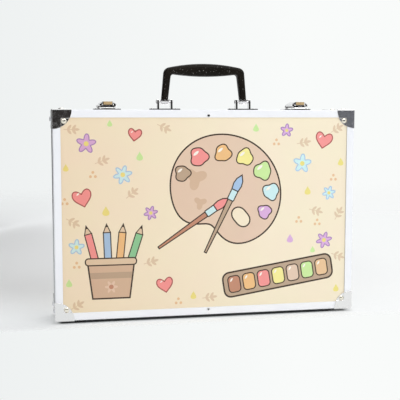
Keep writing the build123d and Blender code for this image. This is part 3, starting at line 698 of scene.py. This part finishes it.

# %% [markdown]
# The lever's front wall is the tongue that the thumb lifts. It has the gold tone on a patch only, so we
# cut the wall along three planes, give the faces between them a second material on the same mesh, and
# bend the wall back on both sides. Behind it a near-black sheet crosses the hollow: painted shade, which
# stands for the shade under the tongue.

# %% Latch levers and their pins
PATCH_HALF, PATCH_HIGH, PATCH_RIM = 5.6, 4.0, 0.4
WALL = 1.2  # how deep the front wall reaches behind the lever's foremost point
BENT_BACK = 0.55  # mm back for each mm beside the patch
# A near-black sheet across the lever's hollow: painted shade under the tongue.
SHADE_SHEET_Y, SHADE_SHEET_THICKNESS = -11.4, 0.6
HALF_SHADE_SHEET = [(0, -7.0), (7.0, -7.0), (7.0, -5.7), (10.5, -5.7), (10.5, -3.4), (6.2, -0.7), (0, -0.7)]
for side_name in ("left", "right"):
    node_name = f"latch_lever_{side_name}"
    form = rounded_copy(node_name, 0.2)
    low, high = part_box(node_name)
    middle_x, top, wall_end = (low.x + high.x) / 2 / MM, high.z / MM, low.y / MM + WALL
    for point, across in (((middle_x - PATCH_HALF, 0, 0), (1, 0, 0)),
                          ((middle_x + PATCH_HALF, 0, 0), (1, 0, 0)), ((0, 0, top - PATCH_HIGH), (0, 0, 1))):
        bmesh.ops.bisect_plane(form, geom=form.verts[:] + form.edges[:] + form.faces[:],
                               plane_co=Vector(point) * MM, plane_no=across)
    for corner in form.verts:
        aside = abs(corner.co.x / MM - middle_x) - PATCH_HALF
        if corner.co.y / MM < wall_end and aside > 0 and corner.co.z / MM > top - PATCH_HIGH - 0.01:
            corner.co.y += BENT_BACK * aside * MM
    for face in form.faces:
        centre = face.calc_center_median() / MM
        on_front = centre.y < wall_end and abs(centre.x - middle_x) < PATCH_HALF
        if on_front and top - PATCH_HIGH < centre.z < top - PATCH_RIM:
            face.material_index = 1
    outline = HALF_SHADE_SHEET + [(-x, z) for x, z in reversed(HALF_SHADE_SHEET[1:-1])]
    shade_sheet = bar([(middle_x + x, top + z) for x, z in outline], SHADE_SHEET_Y, SHADE_SHEET_Y + SHADE_SHEET_THICKNESS,
              lambda u, v, run: (u, run, v))
    for face in shade_sheet.faces:
        face.material_index = 2
    make_piece(node_name + "_folded", joined([form, shade_sheet]), f"latch_{side_name}",
               [CHROME, GOLD_TONE, PAINTED_SHADE_AND_REFLECTION], [node_name])
    turned_pin(f"latch_pin_{side_name}", [(1.4, 0), (2.0, 0.4), (1.9, 0.7)], 1.2)

# %% [markdown]
# ## Hinges, feet and trays
#
# Under the case two hinges join the halves: flat leaves whose edges are curled into knuckles round one
# pin. The measured knuckles have twelve flats, so the edges between the flats are softened as well,
# and with smooth shading the knuckles look round. The feet are rubber buttons, turned with a soft lower
# edge. The trays are drawn sheet, which can't follow a sharp corner, so the corners of their pockets
# are bent round before all edges are softened.

# %% Hinge leaves, hinge pins, feet and trays
CORNER_BEND = (45, 2.2)  # the corners' angle in degrees, and how far from it the arc starts in mm
for side_name in ("left", "right"):
    for body in ("base", "lid"):
        node_name = f"{body}_hinge_leaf_{side_name}"
        make_piece(node_name + "_curled", rounded_copy(node_name, 0.15, 1), body, [CHROME],
                   [node_name])
    turned_pin(f"hinge_pin_{side_name}", [(1.1, 0), (1.5, 0.4), (1.5, 0.8)], 0.9)
for body in ("base", "lid"):
    buttons = []
    for low, high in separate_boxes(f"{body}_feet"):
        radius, height = (high.x - low.x) / 2 / MM, (high.z - low.z) / MM
        profile = [(0, 0), (radius, 0), (radius, 0.4), (radius - 0.9, height - 1.1),
                   (radius - 1.5, height - 0.3), (radius - 2.3, height), (radius - 3.2, height - 0.5),
                   (0, height - 0.5)]
        top_of_foot = Vector(((low.x + high.x) / 2, (low.y + high.y) / 2, high.z))
        buttons.append(laid(lathe(profile), top_of_foot, (0, 0, -1)))
    make_piece(f"{body}_feet_turned", joined(buttons), body, [RUBBER], [f"{body}_feet"])
    make_piece(f"{body}_tray_formed", rounded_copy(f"{body}_tray", 0.4, 2, (CORNER_BEND,)), body,
               [STYRENE], [f"{body}_tray"])

# %% [markdown]
# ## Drawing the print
#
# Such a film has a cheerful all-over print in soft beige, pink, lilac and blue on cream. The one here
# is our own design: a painter's palette with brushes, a pot of pencils, a strip of paint pans, and
# scattered hearts, daisies, drops and sprigs.
#
# A picture on the board would be the usual way. We draw as a printer works instead, in layers of flat
# ink, because outlines in millimetres stay crisp at any distance and can be changed one by one. The
# small shapes are curves with a formula each, drawn about their own middle.

# %% Outlines in millimetres
def wheel(count, radius_at):
    """A closed outline from a radius for each turn."""
    turns = [2 * math.pi * k / count for k in range(count)]
    return [(radius_at(t) * math.cos(t), radius_at(t) * math.sin(t)) for t in turns]


def disc(radius, count=28):
    """A circle."""
    return wheel(count, lambda t: radius)


def heart(width):
    """A heart on its tip, from the well-known curve of sines and cosines."""
    turns = [2 * math.pi * (k + 0.5) / 40 for k in range(40)]
    return [(width / 2 * math.sin(t) * abs(math.sin(t)),
             width / 32 * (13 * math.cos(t) - 5 * math.cos(2 * t) - 2 * math.cos(3 * t) - math.cos(4 * t)))
            for t in reversed(turns)]


def daisy(width, petals):
    """A flower whose petals are waves of a circle."""
    return wheel(60, lambda t: width / 2 * (0.74 + 0.26 * math.cos(petals * t)))


def drop(height):
    """A falling drop with its tip up."""
    turns = [2 * math.pi * (k + 0.5) / 28 for k in range(28)]
    return [(height * 0.36 * math.sin(t) * (1 + math.cos(t)) / 1.3, -height * 0.5 * math.cos(t))
            for t in reversed(turns)]


def leaf(length):
    """A pointed oval along x."""
    turns = [2 * math.pi * k / 20 for k in range(20)]
    return [(length / 2 * math.cos(t), length * 0.2 * math.sin(t) * abs(math.sin(t)) ** 0.4) for t in turns]


print("points in a heart", len(heart(20)))

# %% [markdown]
# Cases, pots and handles are boxes with round corners and bars that taper. One function turns any of
# these outlines and moves it to its place on the board.

# %% Boxes, bars and their places
def soft_box(width, height, radius):
    """A rectangle with round corners."""
    outline = []
    for quarter, (sx, sz) in enumerate(((1, 1), (-1, 1), (-1, -1), (1, -1))):
        for k in range(6):
            t = math.pi / 2 * (quarter + k / 5)
            outline.append((sx * (width / 2 - radius) + radius * math.cos(t),
                            sz * (height / 2 - radius) + radius * math.sin(t)))
    return outline


def taper(length, start, end):
    """A bar along x, from one thickness to another, with a rounded far end."""
    return [(0, -start / 2), (length, -end / 2)] + \
        [(length + end / 2 * math.sin(t), -end / 2 * math.cos(t)) for t in
         [math.pi * k / 6 for k in range(1, 6)]] + [(length, end / 2), (0, start / 2)]


def put(outline, at, turn=0.0):
    """Turns an outline by degrees, and moves it to its place."""
    c, s = math.cos(math.radians(turn)), math.sin(math.radians(turn))
    return [(at[0] + x * c - z * s, at[1] + x * s + z * c) for x, z in outline]


print("points in a round-cornered box", len(soft_box(20, 10, 2)))

# %% [markdown]
# A dark line round a shape is the same shape, grown a little, printed first. To grow it, every point
# moves outwards, square to the outline. Sharp tips and hollows would make loops that way, so a point
# that ends up nearer to the old outline than it should be is left out.

# %% Growing an outline
def anticlockwise(outline):
    """The same outline, always run anticlockwise."""
    twice_area = sum(outline[k - 1][0] * p[1] - p[0] * outline[k - 1][1] for k, p in enumerate(outline))
    return outline if twice_area > 0 else outline[::-1]


def distance_to(point, outline):
    """How far a point is from an outline's nearest side."""
    nearest = 1e9
    for k, corner in enumerate(outline):
        start, run = Vector(outline[k - 1]), Vector(corner) - Vector(outline[k - 1])
        t = min(1.0, max(0.0, (Vector(point) - start).dot(run) / max(run.length_squared, 1e-12)))
        nearest = min(nearest, (Vector(point) - start - run * t).length)
    return nearest


def grown(outline, by):
    """The outline moved outwards by a distance, without the loops that a sharp tip would leave."""
    outline = anticlockwise(outline)
    result = []
    for k, point in enumerate(outline):
        before, after = Vector(outline[k - 1]), Vector(outline[(k + 1) % len(outline)])
        into, away = (Vector(point) - before).normalized(), (after - Vector(point)).normalized()
        along = (into + away).normalized()
        reach = by / max(0.25, along.dot(into))
        moved = (point[0] + along.y * reach, point[1] - along.x * reach)
        if distance_to(moved, outline) > abs(by) - 0.02:
            result.append(moved)
    return result


print("points in a grown heart", len(grown(heart(20), 1)))

# %% [markdown]
# The inks are named by their colour. A small pale shape gets a coloured line, and the large shapes get
# a dark brown one, about 1.7 mm wide, as on printed tin and card for children.

# %% Inks and the layers of the print
INKS = {
    "cream": "#F7ECD7", "skin_beige": "#E6CDBB", "warm_beige": "#D8BBA4", "clay": "#BFA893",
    "umber": "#3A2A1E",
    "rose": "#F79A9C", "deep_rose": "#A8514E", "lilac": "#DCB2E6", "violet": "#A884C4", "ice": "#CFF0FA",
    "sky": "#A9C9F0", "lemon": "#F0E48A", "mint": "#CDEFA8", "leaf_green": "#8FCFA0", "tan": "#E3CDB4",
    "sand": "#EBC79F", "apricot": "#F2C48C", "terracotta": "#C69078", "butter": "#F8F0A0", "white": "#FBF7F4",
}
LAYERS = []


def ink_in(name, outline):
    """Lays a shape over all that is printed so far."""
    LAYERS.append((name, anticlockwise(outline)))


def outlined(name, line, outline, width=1.7):
    """A shape with a printed line round it."""
    ink_in(line, grown(outline, width / 2))
    ink_in(name, grown(outline, -width / 2))


print("inks", len(INKS))

# %% [markdown]
# The palette is the largest motif, so it goes down first: a broad kidney shape with a bay for the
# fingers and a thumb hole, then the dabs of paint. Each dab is a wavy circle with its own start, so no
# two are alike, and a small white leaf makes it look wet.

# %% The palette
PALETTE_AT, PALETTE_TURN = (24, 30), -14
BAY_AT, BAY_WIDTH, BAY_DEPTH = 4.55, 0.34, 0.3  # turn in radians, width in radians, share of the radius
kidney = wheel(96, lambda t: (72 - 5 * math.cos(2 * t - 0.5))
               * (1 - BAY_DEPTH * math.exp(-((t - BAY_AT) / BAY_WIDTH) ** 2)))
kidney = [(x * 1.12, z * 0.94) for x, z in kidney]
outlined("skin_beige", "umber", put(kidney, PALETTE_AT, PALETTE_TURN), 2.0)
for at, width in (((-44, 6), 32.3), ((-30, -24), 18.7)):
    ink_in("warm_beige", put(daisy(width, 3), put([at], PALETTE_AT, PALETTE_TURN)[0], 20))
outlined("cream", "umber", put(wheel(32, lambda t: 12 - 2.5 * math.cos(2 * t)),
                               put([(28, -30)], PALETTE_AT, PALETTE_TURN)[0], 40), 1.8)
DABS = (((-46, 34), 13, "rose"), ((-16, 46), 12, "apricot"), ((14, 48), 12, "butter"), ((42, 36), 13, "mint"),
        ((60, 12), 12, "ice"), ((58, -16), 10, "lilac"), ((-62, 8), 11, "clay"))
for number, (at, radius, name) in enumerate(DABS):
    blob = wheel(40, lambda t: radius * (0.9 + 0.1 * math.cos(3 * t + number) + 0.05 * math.cos(5 * t)))
    spot = put([at], PALETTE_AT, PALETTE_TURN)[0]
    outlined(name, "umber", put(blob, spot), 1.5)
    ink_in("white", put(leaf(radius * 0.7), (spot[0] - radius * 0.3, spot[1] + radius * 0.35), 40))
print("layers with the palette", len(LAYERS))

# %% [markdown]
# Over it lie two brushes, each a long handle, a ferrule and a head of hair. A pot of pencils stands at
# the lower left and a strip of paint pans lies at the lower right, which balances the picture. Each
# group is drawn about its own place and turn, so that it can be moved as a whole.

# %% Brushes, a pot of pencils and a strip of paint pans
for at, turn, name, hair in (((-66, -44), 34, "terracotta", "rose"), ((-4, -52), 64, "clay", "sky")):
    outlined(name, "umber", put(taper(78, 3.0, 7.0), at, turn), 1.5)
    outlined("ice", "umber", put(soft_box(15, 9, 1.5), put([(84, 0)], at, turn)[0], turn), 1.5)
    tip = [(0, -4.6), (8, -5.8), (15, -4.4), (22, 0), (15, 4.4), (8, 5.8), (0, 4.6)]
    outlined(hair, "umber", put(tip, put([(91, 0)], at, turn)[0], turn), 1.5)

POT_AT = (-128, -84)
for dx, turn, name in ((-15, 104, "rose"), (-3, 92, "sky"), (9, 84, "apricot"), (19, 72, "leaf_green")):
    foot = (POT_AT[0] + dx, POT_AT[1] + 4)
    outlined(name, "umber", put([(0, -4.6), (58, -4.6), (58, 4.6), (0, 4.6)], foot, turn), 1.4)
    outlined("tan", "umber", put([(58, -4.6), (69, 0), (58, 4.6)], foot, turn), 1.2)
    ink_in("umber", put([(65, -1.7), (69, 0), (65, 1.7)], foot, turn))
pot = [(-24, -24), (24, -24), (30, 22), (-30, 22)]
outlined("warm_beige", "umber", put(pot, POT_AT), 2.0)
ink_in("clay", put([(-26.4, 2), (26.4, 2), (27.6, 10), (-27.6, 10)], POT_AT))
outlined("tan", "umber", put(soft_box(66, 9, 4), (POT_AT[0], POT_AT[1] + 24)), 1.6)
ink_in("skin_beige", put(daisy(17, 6), (POT_AT[0], POT_AT[1] - 9)))
ink_in("terracotta", put(disc(3, 16), (POT_AT[0], POT_AT[1] - 9)))

STRIP_AT, STRIP_TURN, PAN_STEP = (96, -86), 9, 20.4
outlined("clay", "umber", put(soft_box(152, 33, 9), STRIP_AT, STRIP_TURN), 2.2)
PANS = ("terracotta", "apricot", "rose", "butter", "skin_beige", "mint", "sand")
for number, name in enumerate(PANS):
    spot = put([((number - len(PANS) // 2) * PAN_STEP, 0)], STRIP_AT, STRIP_TURN)[0]
    outlined(name, "umber", put(soft_box(16.4, 22, 5), spot, STRIP_TURN), 1.5)
    ink_in("white", put(leaf(6), put([(-3.2, 6.2)], spot, STRIP_TURN)[0], STRIP_TURN + 50))
print("layers so far", len(LAYERS))

# %% [markdown]
# Small motifs fill the ground between the large ones: hearts, daisies, drops, sprigs and groups of three
# dots. They could be strewn at random, but a plain list keeps the gaps even and no two of
# one kind side by side.

# %% Small motifs
for at, turn, width in (
        ((-164, 24), 14, 24), ((158, 96), -12, 23), ((-58, -92), 10, 21), ((-96, 104), -8, 17)):
    outlined("rose", "deep_rose", put(heart(width), at, turn), 1.4)
    ink_in("white", put(leaf(width * 0.2), (at[0] - width * 0.22, at[1] + width * 0.16), 40))
for at, name, line, width, petals in (
        ((-158, 92), "lilac", "violet", 25, 5), ((-112, 52), "ice", "sky", 24, 6),
        ((128, 64), "ice", "sky", 25, 5), ((160, -40), "lilac", "violet", 22, 6),
        ((-172, -40), "ice", "sky", 20, 5), ((106, 108), "lilac", "violet", 17, 5),
        ((-76, 2), "lilac", "violet", 18, 6), ((166, 24), "ice", "sky", 18, 6)):
    outlined(name, line, put(daisy(width, petals), at, 13), 1.3)
    ink_in("lemon", put(disc(width * 0.13, 14), at))
for at, name, height in (
        ((-134, 6), "lemon", 13), ((-90, 76), "mint", 12), ((136, 28), "lemon", 12),
        ((112, -36), "lilac", 12), ((-184, 62), "lemon", 10), ((144, -52), "mint", 9),
        ((-20, -108), "lemon", 11), ((64, 112), "mint", 11), ((182, 66), "lemon", 11),
        ((-182, -86), "mint", 11), ((-128, 118), "mint", 9), ((178, -106), "lemon", 11)):
    ink_in(name, put(drop(height), at))
for at, turn in (((-138, 70), 20), ((-176, -8), -30), ((-100, 28), 40), ((148, 0), -15), ((176, 110), 30),
                 ((180, -4), 60), ((-76, -62), 15), ((-58, 112), -25), ((130, 92), 10), ((2, -112), 5),
                 ((-176, 110), 0), ((180, -62), -20), ((-172, -116), 30)):
    for step, lean in ((-3, 52), (3, 52), (-3, -52), (3, -52), (6, 0)):
        ink_in("tan", put(leaf(8.5), put([(step, 0.05 * lean)], at, turn)[0], turn + lean))
    ink_in("tan", put([(-10, -0.5), (8, -0.5), (8, 0.5), (-10, 0.5)], at, turn))
for at in ((-172, -64), (150, -16), (-150, 52), (92, 92), (172, 44), (-40, -116), (-186, 18), (124, -12)):
    for k in range(3):
        ink_in("sand", put(disc(1.9, 12), put([(3.6, 0)], at, 90 + 120 * k)[0]))
print("layers in all", len(LAYERS))

# %% [markdown]
# Now the layers become one flat mesh. A constrained triangulation cuts the board's face along every
# outline and tells, for each triangle, which layers cover it, and the last of them is the ink that
# shows. One sheet with no steps in it prints cleanly, where stacked shapes would flicker against each
# other. The same function makes the plain board of the other face, with no motifs.

# %% From layers to a printed board
def printed_board(name, node_name, face_sign, layers, body):
    """A board with its film: face_sign tells whether the printed face looks along -Y or +Y."""
    low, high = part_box(node_name)
    centre = (low + high) / 2
    half_x, half_z = (high.x - low.x) / 2 / MM, (high.z - low.z) / 2 / MM
    ground = [(-half_x, -half_z), (half_x, -half_z), (half_x, half_z), (-half_x, half_z)]
    sheets = [("cream", ground)] + layers
    points, loops = [], []
    for _, outline in sheets:
        loops.append(list(range(len(points), len(points) + len(outline))))
        points += [Vector(p) for p in outline]
    flat, _, triangles, _, _, covered = delaunay_2d_cdt(points, [], loops, 1, 0.001)
    form = bmesh.new()
    inks = form.loops.layers.float_color.new("ink")
    face_y = low.y if face_sign < 0 else high.y
    back_y = high.y if face_sign < 0 else low.y
    verts = [form.verts.new((centre.x + p.x * MM, face_y, centre.z + p.y * MM)) for p in flat]
    for corners, layer_numbers in zip(triangles, covered):
        face = form.faces.new([verts[k] for k in corners])
        colour = linear(INKS[sheets[max(layer_numbers)][0]])
        for corner in face.loops:
            corner[inks] = colour
    rim = [min(verts, key=lambda v: (v.co.x - centre.x - x * MM) ** 2 + (v.co.z - centre.z - z * MM) ** 2)
           for x, z in ground]
    behind = [form.verts.new((v.co.x, back_y, v.co.z)) for v in rim]
    fibre_faces = [form.faces.new(behind)]
    for k in range(4):
        fibre_faces.append(form.faces.new((rim[k], rim[(k + 1) % 4], behind[(k + 1) % 4], behind[k])))
    for face in fibre_faces:
        face.material_index = 1
    bmesh.ops.recalc_face_normals(form, faces=form.faces)
    make_piece(name, form, body, [FILM, HARDBOARD], [node_name])


printed_board("lid_board_printed", "lid_panel", -1, LAYERS, "lid")
printed_board("base_board_plain", "base_panel", 1, [], "base")

# %% [markdown]
# ## The studio
#
# The case stands in a bright white sweep. For light the surroundings are one even pale colour. What the
# camera sees, and what metal mirrors, is the sweep itself, painted a little greyer on the left as painted
# shade. Light Path tells the two kinds of ray apart, so the background can be white with no more light on the
# object.

# %% Surroundings
BACKDROP_LEFT, BACKDROP_RIGHT = "#EEF1F1", "#F9FBFA"
AMBIENT = 0.64


def seen_or_mirrored(tree):
    """1 for rays from the camera, off a glossy surface or through glass, and 0 for all others."""
    rays = add_node(tree, "ShaderNodeLightPath")
    either = add_node(tree, "ShaderNodeMath", {"operation": "MAXIMUM"},
                      {0: rays.outputs["Is Camera Ray"], 1: rays.outputs["Is Glossy Ray"]})
    return add_node(tree, "ShaderNodeMath", {"operation": "MAXIMUM"},
                    {0: either.outputs[0], 1: rays.outputs["Is Transmission Ray"]}).outputs[0]


world = bpy.data.worlds.new("studio")
bpy.context.scene.world = world
world.use_nodes = True
tree = world.node_tree
tree.nodes.clear()
view = add_node(tree, "ShaderNodeTexCoord").outputs["Generated"]
heading = add_node(tree, "ShaderNodeSeparateXYZ", links={"Vector": view})
sweep = add_node(tree, "ShaderNodeMapRange", {"From Min": -0.05, "From Max": 0.3},
                 {"Value": heading.outputs["X"]})
pale = add_node(tree, "ShaderNodeMix",
                {"data_type": "RGBA", MIX_A: linear(BACKDROP_LEFT), MIX_B: linear(BACKDROP_RIGHT)},
                {MIX_BY: sweep.outputs["Result"]})
seen = add_node(tree, "ShaderNodeBackground", {"Strength": 1.0}, {"Color": pale.outputs[MIXED]})
lit = add_node(tree, "ShaderNodeBackground", {"Color": linear("#FBFCFF"), "Strength": AMBIENT})
blend = add_node(tree, "ShaderNodeMixShader",
                 links={0: seen_or_mirrored(tree), 1: lit.outputs[0], 2: seen.outputs[0]})
add_node(tree, "ShaderNodeOutputWorld", links={"Surface": blend.outputs[0]})
print("ambient light", AMBIENT)

# %% [markdown]
# The floor has to be a real surface near the case, so that it holds the shadow. Far off it has to melt
# into the surroundings. A curved sheet is the studio's own way, but it shows a bend in other views. Ours
# stays flat, and lets the eye and mirrors through in front, on the right and far behind.
#
# Where it does so is written as a mask, a number from 0 to 1 for each spot. Each ramp below goes from
# one value to another between two places, in metres from the middle of the case, and the table after
# it combines the ramps.

# %% The floor's mask
FLOOR, tree, shader, place = start_material("studio_floor", "#F4F6F6", 0.85)
shader.inputs["Specular IOR Level"].default_value = 0.1
spot = add_node(tree, "ShaderNodeSeparateXYZ", links={"Vector": place})
aside = add_node(tree, "ShaderNodeMath", {"operation": "ABSOLUTE"}, {0: spot.outputs["X"]})
before_or_behind = add_node(tree, "ShaderNodeMath", {"operation": "ABSOLUTE"}, {0: spot.outputs["Y"]})
ALONG, DEPTH = spot.outputs["X"], spot.outputs["Y"]
SOFT, EVEN = "SMOOTHSTEP", "LINEAR"
mask = {}
# Close round the case the floor is only 0.55 solid to the eye, and the pale surroundings show through:
# painted light that lifts the case's shadow there.
for name, measure, start, end, value_before, value_after, easing in (
        ("far_left", ALONG, -0.05, -0.3, 0.0, 1.0, SOFT),
        ("behind_case", DEPTH, 0.0, 0.3, 0.0, 1.0, SOFT),
        ("within_width", aside.outputs[0], 0.206, 0.192, 0.0, 1.0, EVEN),
        ("within_depth", before_or_behind.outputs[0], 0.034, 0.024, 0.0, 1.0, EVEN),
        ("past_front", DEPTH, -0.064, -0.036, 0.0, 1.0, SOFT),
        ("not_far_off", DEPTH, 2.2, 0.7, 0.0, 1.0, SOFT),
        ("shadow_lifted_near_case", DEPTH, 0.04, 0.26, 0.55, 1.0, SOFT),
        ("not_far_right", ALONG, 0.16, 0.45, 1.0, 0.3, EVEN)):
    ramp = add_node(tree, "ShaderNodeMapRange",
                    {"From Min": start, "From Max": end, "To Min": value_before, "To Max": value_after,
                     "interpolation_type": easing}, {"Value": measure})
    mask[name] = ramp.outputs["Result"]
for name, operation, one, other in (
        ("painted_shade_far_left", "MULTIPLY", "far_left", "behind_case"),
        ("under_case", "MULTIPLY", "within_width", "within_depth"),
        ("held", "MAXIMUM", "shadow_lifted_near_case", "under_case"),
        ("held_on_left", "MULTIPLY", "held", "not_far_right"),
        ("between", "MULTIPLY", "past_front", "not_far_off"),
        ("solid", "MULTIPLY", "between", "held_on_left")):
    mask[name] = add_node(tree, "ShaderNodeMath", {"operation": operation},
                          {0: mask[one], 1: mask[other]}).outputs[0]
print("masks of the floor", len(mask))

# %% [markdown]
# Two of the masks colour the floor with painted shade: the sweep is painted a little darker far on the
# left behind the case, and the narrow gap under the case is darker than light alone makes it. The last
# one mixes the floor's shader with a transparent one. It could be an alpha value, but then light would
# pass as well, and the case would stand on nothing and lose its shadow. So only rays of the eye and of
# mirrors get through.

# %% The floor's colour and its clear part
# Painted shade far on the left behind the case, and painted shade in the gap under the case.
floor_tone = add_node(tree, "ShaderNodeMix",
                      {"data_type": "RGBA", MIX_A: linear("#FDFEFE"), MIX_B: linear("#F6F7F6")},
                      {MIX_BY: mask["painted_shade_far_left"]})
shaded = add_node(tree, "ShaderNodeMix", {"data_type": "RGBA", MIX_B: linear("#5C5E5E")},
                  {MIX_BY: mask["under_case"], MIX_A: floor_tone.outputs[MIXED]})
tree.links.new(shaded.outputs[MIXED], shader.inputs["Base Color"])
clear = add_node(tree, "ShaderNodeMath", {"operation": "SUBTRACT", 0: 1.0}, {1: mask["solid"]})
clear_to_eye = add_node(tree, "ShaderNodeMath", {"operation": "MULTIPLY"},
                        {0: clear.outputs[0], 1: seen_or_mirrored(tree)})
see_through = add_node(tree, "ShaderNodeBsdfTransparent")
fade = add_node(tree, "ShaderNodeMixShader",
                links={0: clear_to_eye.outputs[0], 1: shader.outputs[0], 2: see_through.outputs[0]})
tree.links.new(fade.outputs[0], tree.nodes["Material Output"].inputs["Surface"])
print("floor material", FLOOR.name)

# %% [markdown]
# Mirrors need something dark to show: a studio is dark behind the photographer, and the upright chrome
# near the camera's height mirrors just that. A card behind the camera, nearly black and greyer towards
# its right end, stands for it. A second card, the photographer's flag, keeps light from the case's left
# side, so that the side reads as a thin dark line beside the bright flange. The camera sees neither.
# The floor itself casts no shadow, because the opened lid hangs a little lower than the feet, and its
# tray would be dark in every view.

# %% Floor, dark room and flag
def stage_sheet(name, corners, material):
    """A flat sheet that belongs to the studio."""
    mesh = bpy.data.meshes.new(name)
    mesh.from_pydata(corners, [], [tuple(range(len(corners)))])
    mesh.materials.append(material)
    made = bpy.data.objects.new(name, mesh)
    bpy.context.scene.collection.objects.link(made)
    made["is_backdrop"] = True
    return made


DARK_ROOM, tree, shader, place = start_material("dark_room", "#2E2A28", 0.9)
along_card = add_node(tree, "ShaderNodeSeparateXYZ", links={"Vector": place})
to_window = add_node(tree, "ShaderNodeMapRange", {"From Min": 0.75, "From Max": 1.1},
                     {"Value": along_card.outputs["X"]})
room_tone = add_node(tree, "ShaderNodeMix",
                     {"data_type": "RGBA", MIX_A: linear("#2A2624"), MIX_B: linear("#7A7C82")},
                     {MIX_BY: to_window.outputs["Result"]})
tree.links.new(room_tone.outputs[MIXED], shader.inputs["Base Color"])

floor = stage_sheet("floor", [(-4, -2.5, 0), (4, -2.5, 0), (4, 4, 0), (-4, 4, 0)], FLOOR)
card = stage_sheet("room_behind_camera",
                   [(-2.2, -2.4, 0.02), (2.2, -2.4, 0.02), (2.2, -2.4, 1.3), (-2.2, -2.4, 1.3)], DARK_ROOM)
flag = stage_sheet("black_flag_on_the_left",
                   [(-0.26, 1.0, 0.04), (-1.1, -0.5, 0.04), (-1.1, -0.5, 1.2), (-0.26, 1.0, 1.2)], DARK_ROOM)
for sheet in (floor, card, flag):
    sheet.visible_shadow = False
for sheet in (card, flag):
    sheet.visible_camera = False
card.visible_diffuse = False
print("studio sheets", floor.name, card.name, flag.name)

# %% [markdown]
# ## Lamps and camera
#
# Small lamps give hard shadows, and the photograph has none, so all three are soft boxes of a metre and
# more. The key lamp stands above, in front and to the right and gives the case most of its light. A
# weaker one fills from the front left, and a third hangs over the sweep behind the case. The camera
# stands where the photographer did, a little to the left and slightly above the middle of the case,
# about 1.1 m away, and looks down a little.

# %% Lamps and camera
CASE_HEART, SWEEP_BEHIND = (0, 0, 0.12), (0.4, 0.7, 0.0)
for name, place_of_lamp, towards, size, watts in (
        ("key_softbox", (0.7, -1.3, 1.7), CASE_HEART, 1.3, 14.5),
        ("fill_softbox", (-0.7, -1.5, 1.0), CASE_HEART, 1.0, 3.5),
        ("overhead_softbox", (0.5, 1.1, 2.0), SWEEP_BEHIND, 1.4, 9.0)):
    lamp = bpy.data.lights.new(name, "AREA")
    lamp.size = size
    lamp.energy = watts
    stand = bpy.data.objects.new(name, lamp)
    stand.location = place_of_lamp
    stand.rotation_euler = (Vector(towards) - Vector(place_of_lamp)).to_track_quat("-Z", "Y").to_euler()
    bpy.context.scene.collection.objects.link(stand)

CAMERA_AT = (-0.2267, -1.1086, 0.2655)
TILT_DOWN, TURN_RIGHT = 5.63, 11.3
lens = bpy.data.cameras.new("photographer")
lens.lens, lens.sensor_width = 76.1, 36  # mm
lens.clip_start = 0.01
camera = bpy.data.objects.new("photographer", lens)
camera.location = CAMERA_AT
camera.rotation_euler = (math.radians(90 - TILT_DOWN), 0, math.radians(-TURN_RIGHT))
bpy.context.scene.collection.objects.link(camera)
bpy.context.scene.camera = camera
bpy.context.scene.view_settings.view_transform = "Standard"
print("camera at", CAMERA_AT)

# %% [markdown]
# ## Finish
#
# Last, the size of the dressed model is printed, because dressing a part must not change its size.

# %% Write the sizes and finish
low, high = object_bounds()
print("visual size in mm", [round(v / MM, 1) for v in high - low])
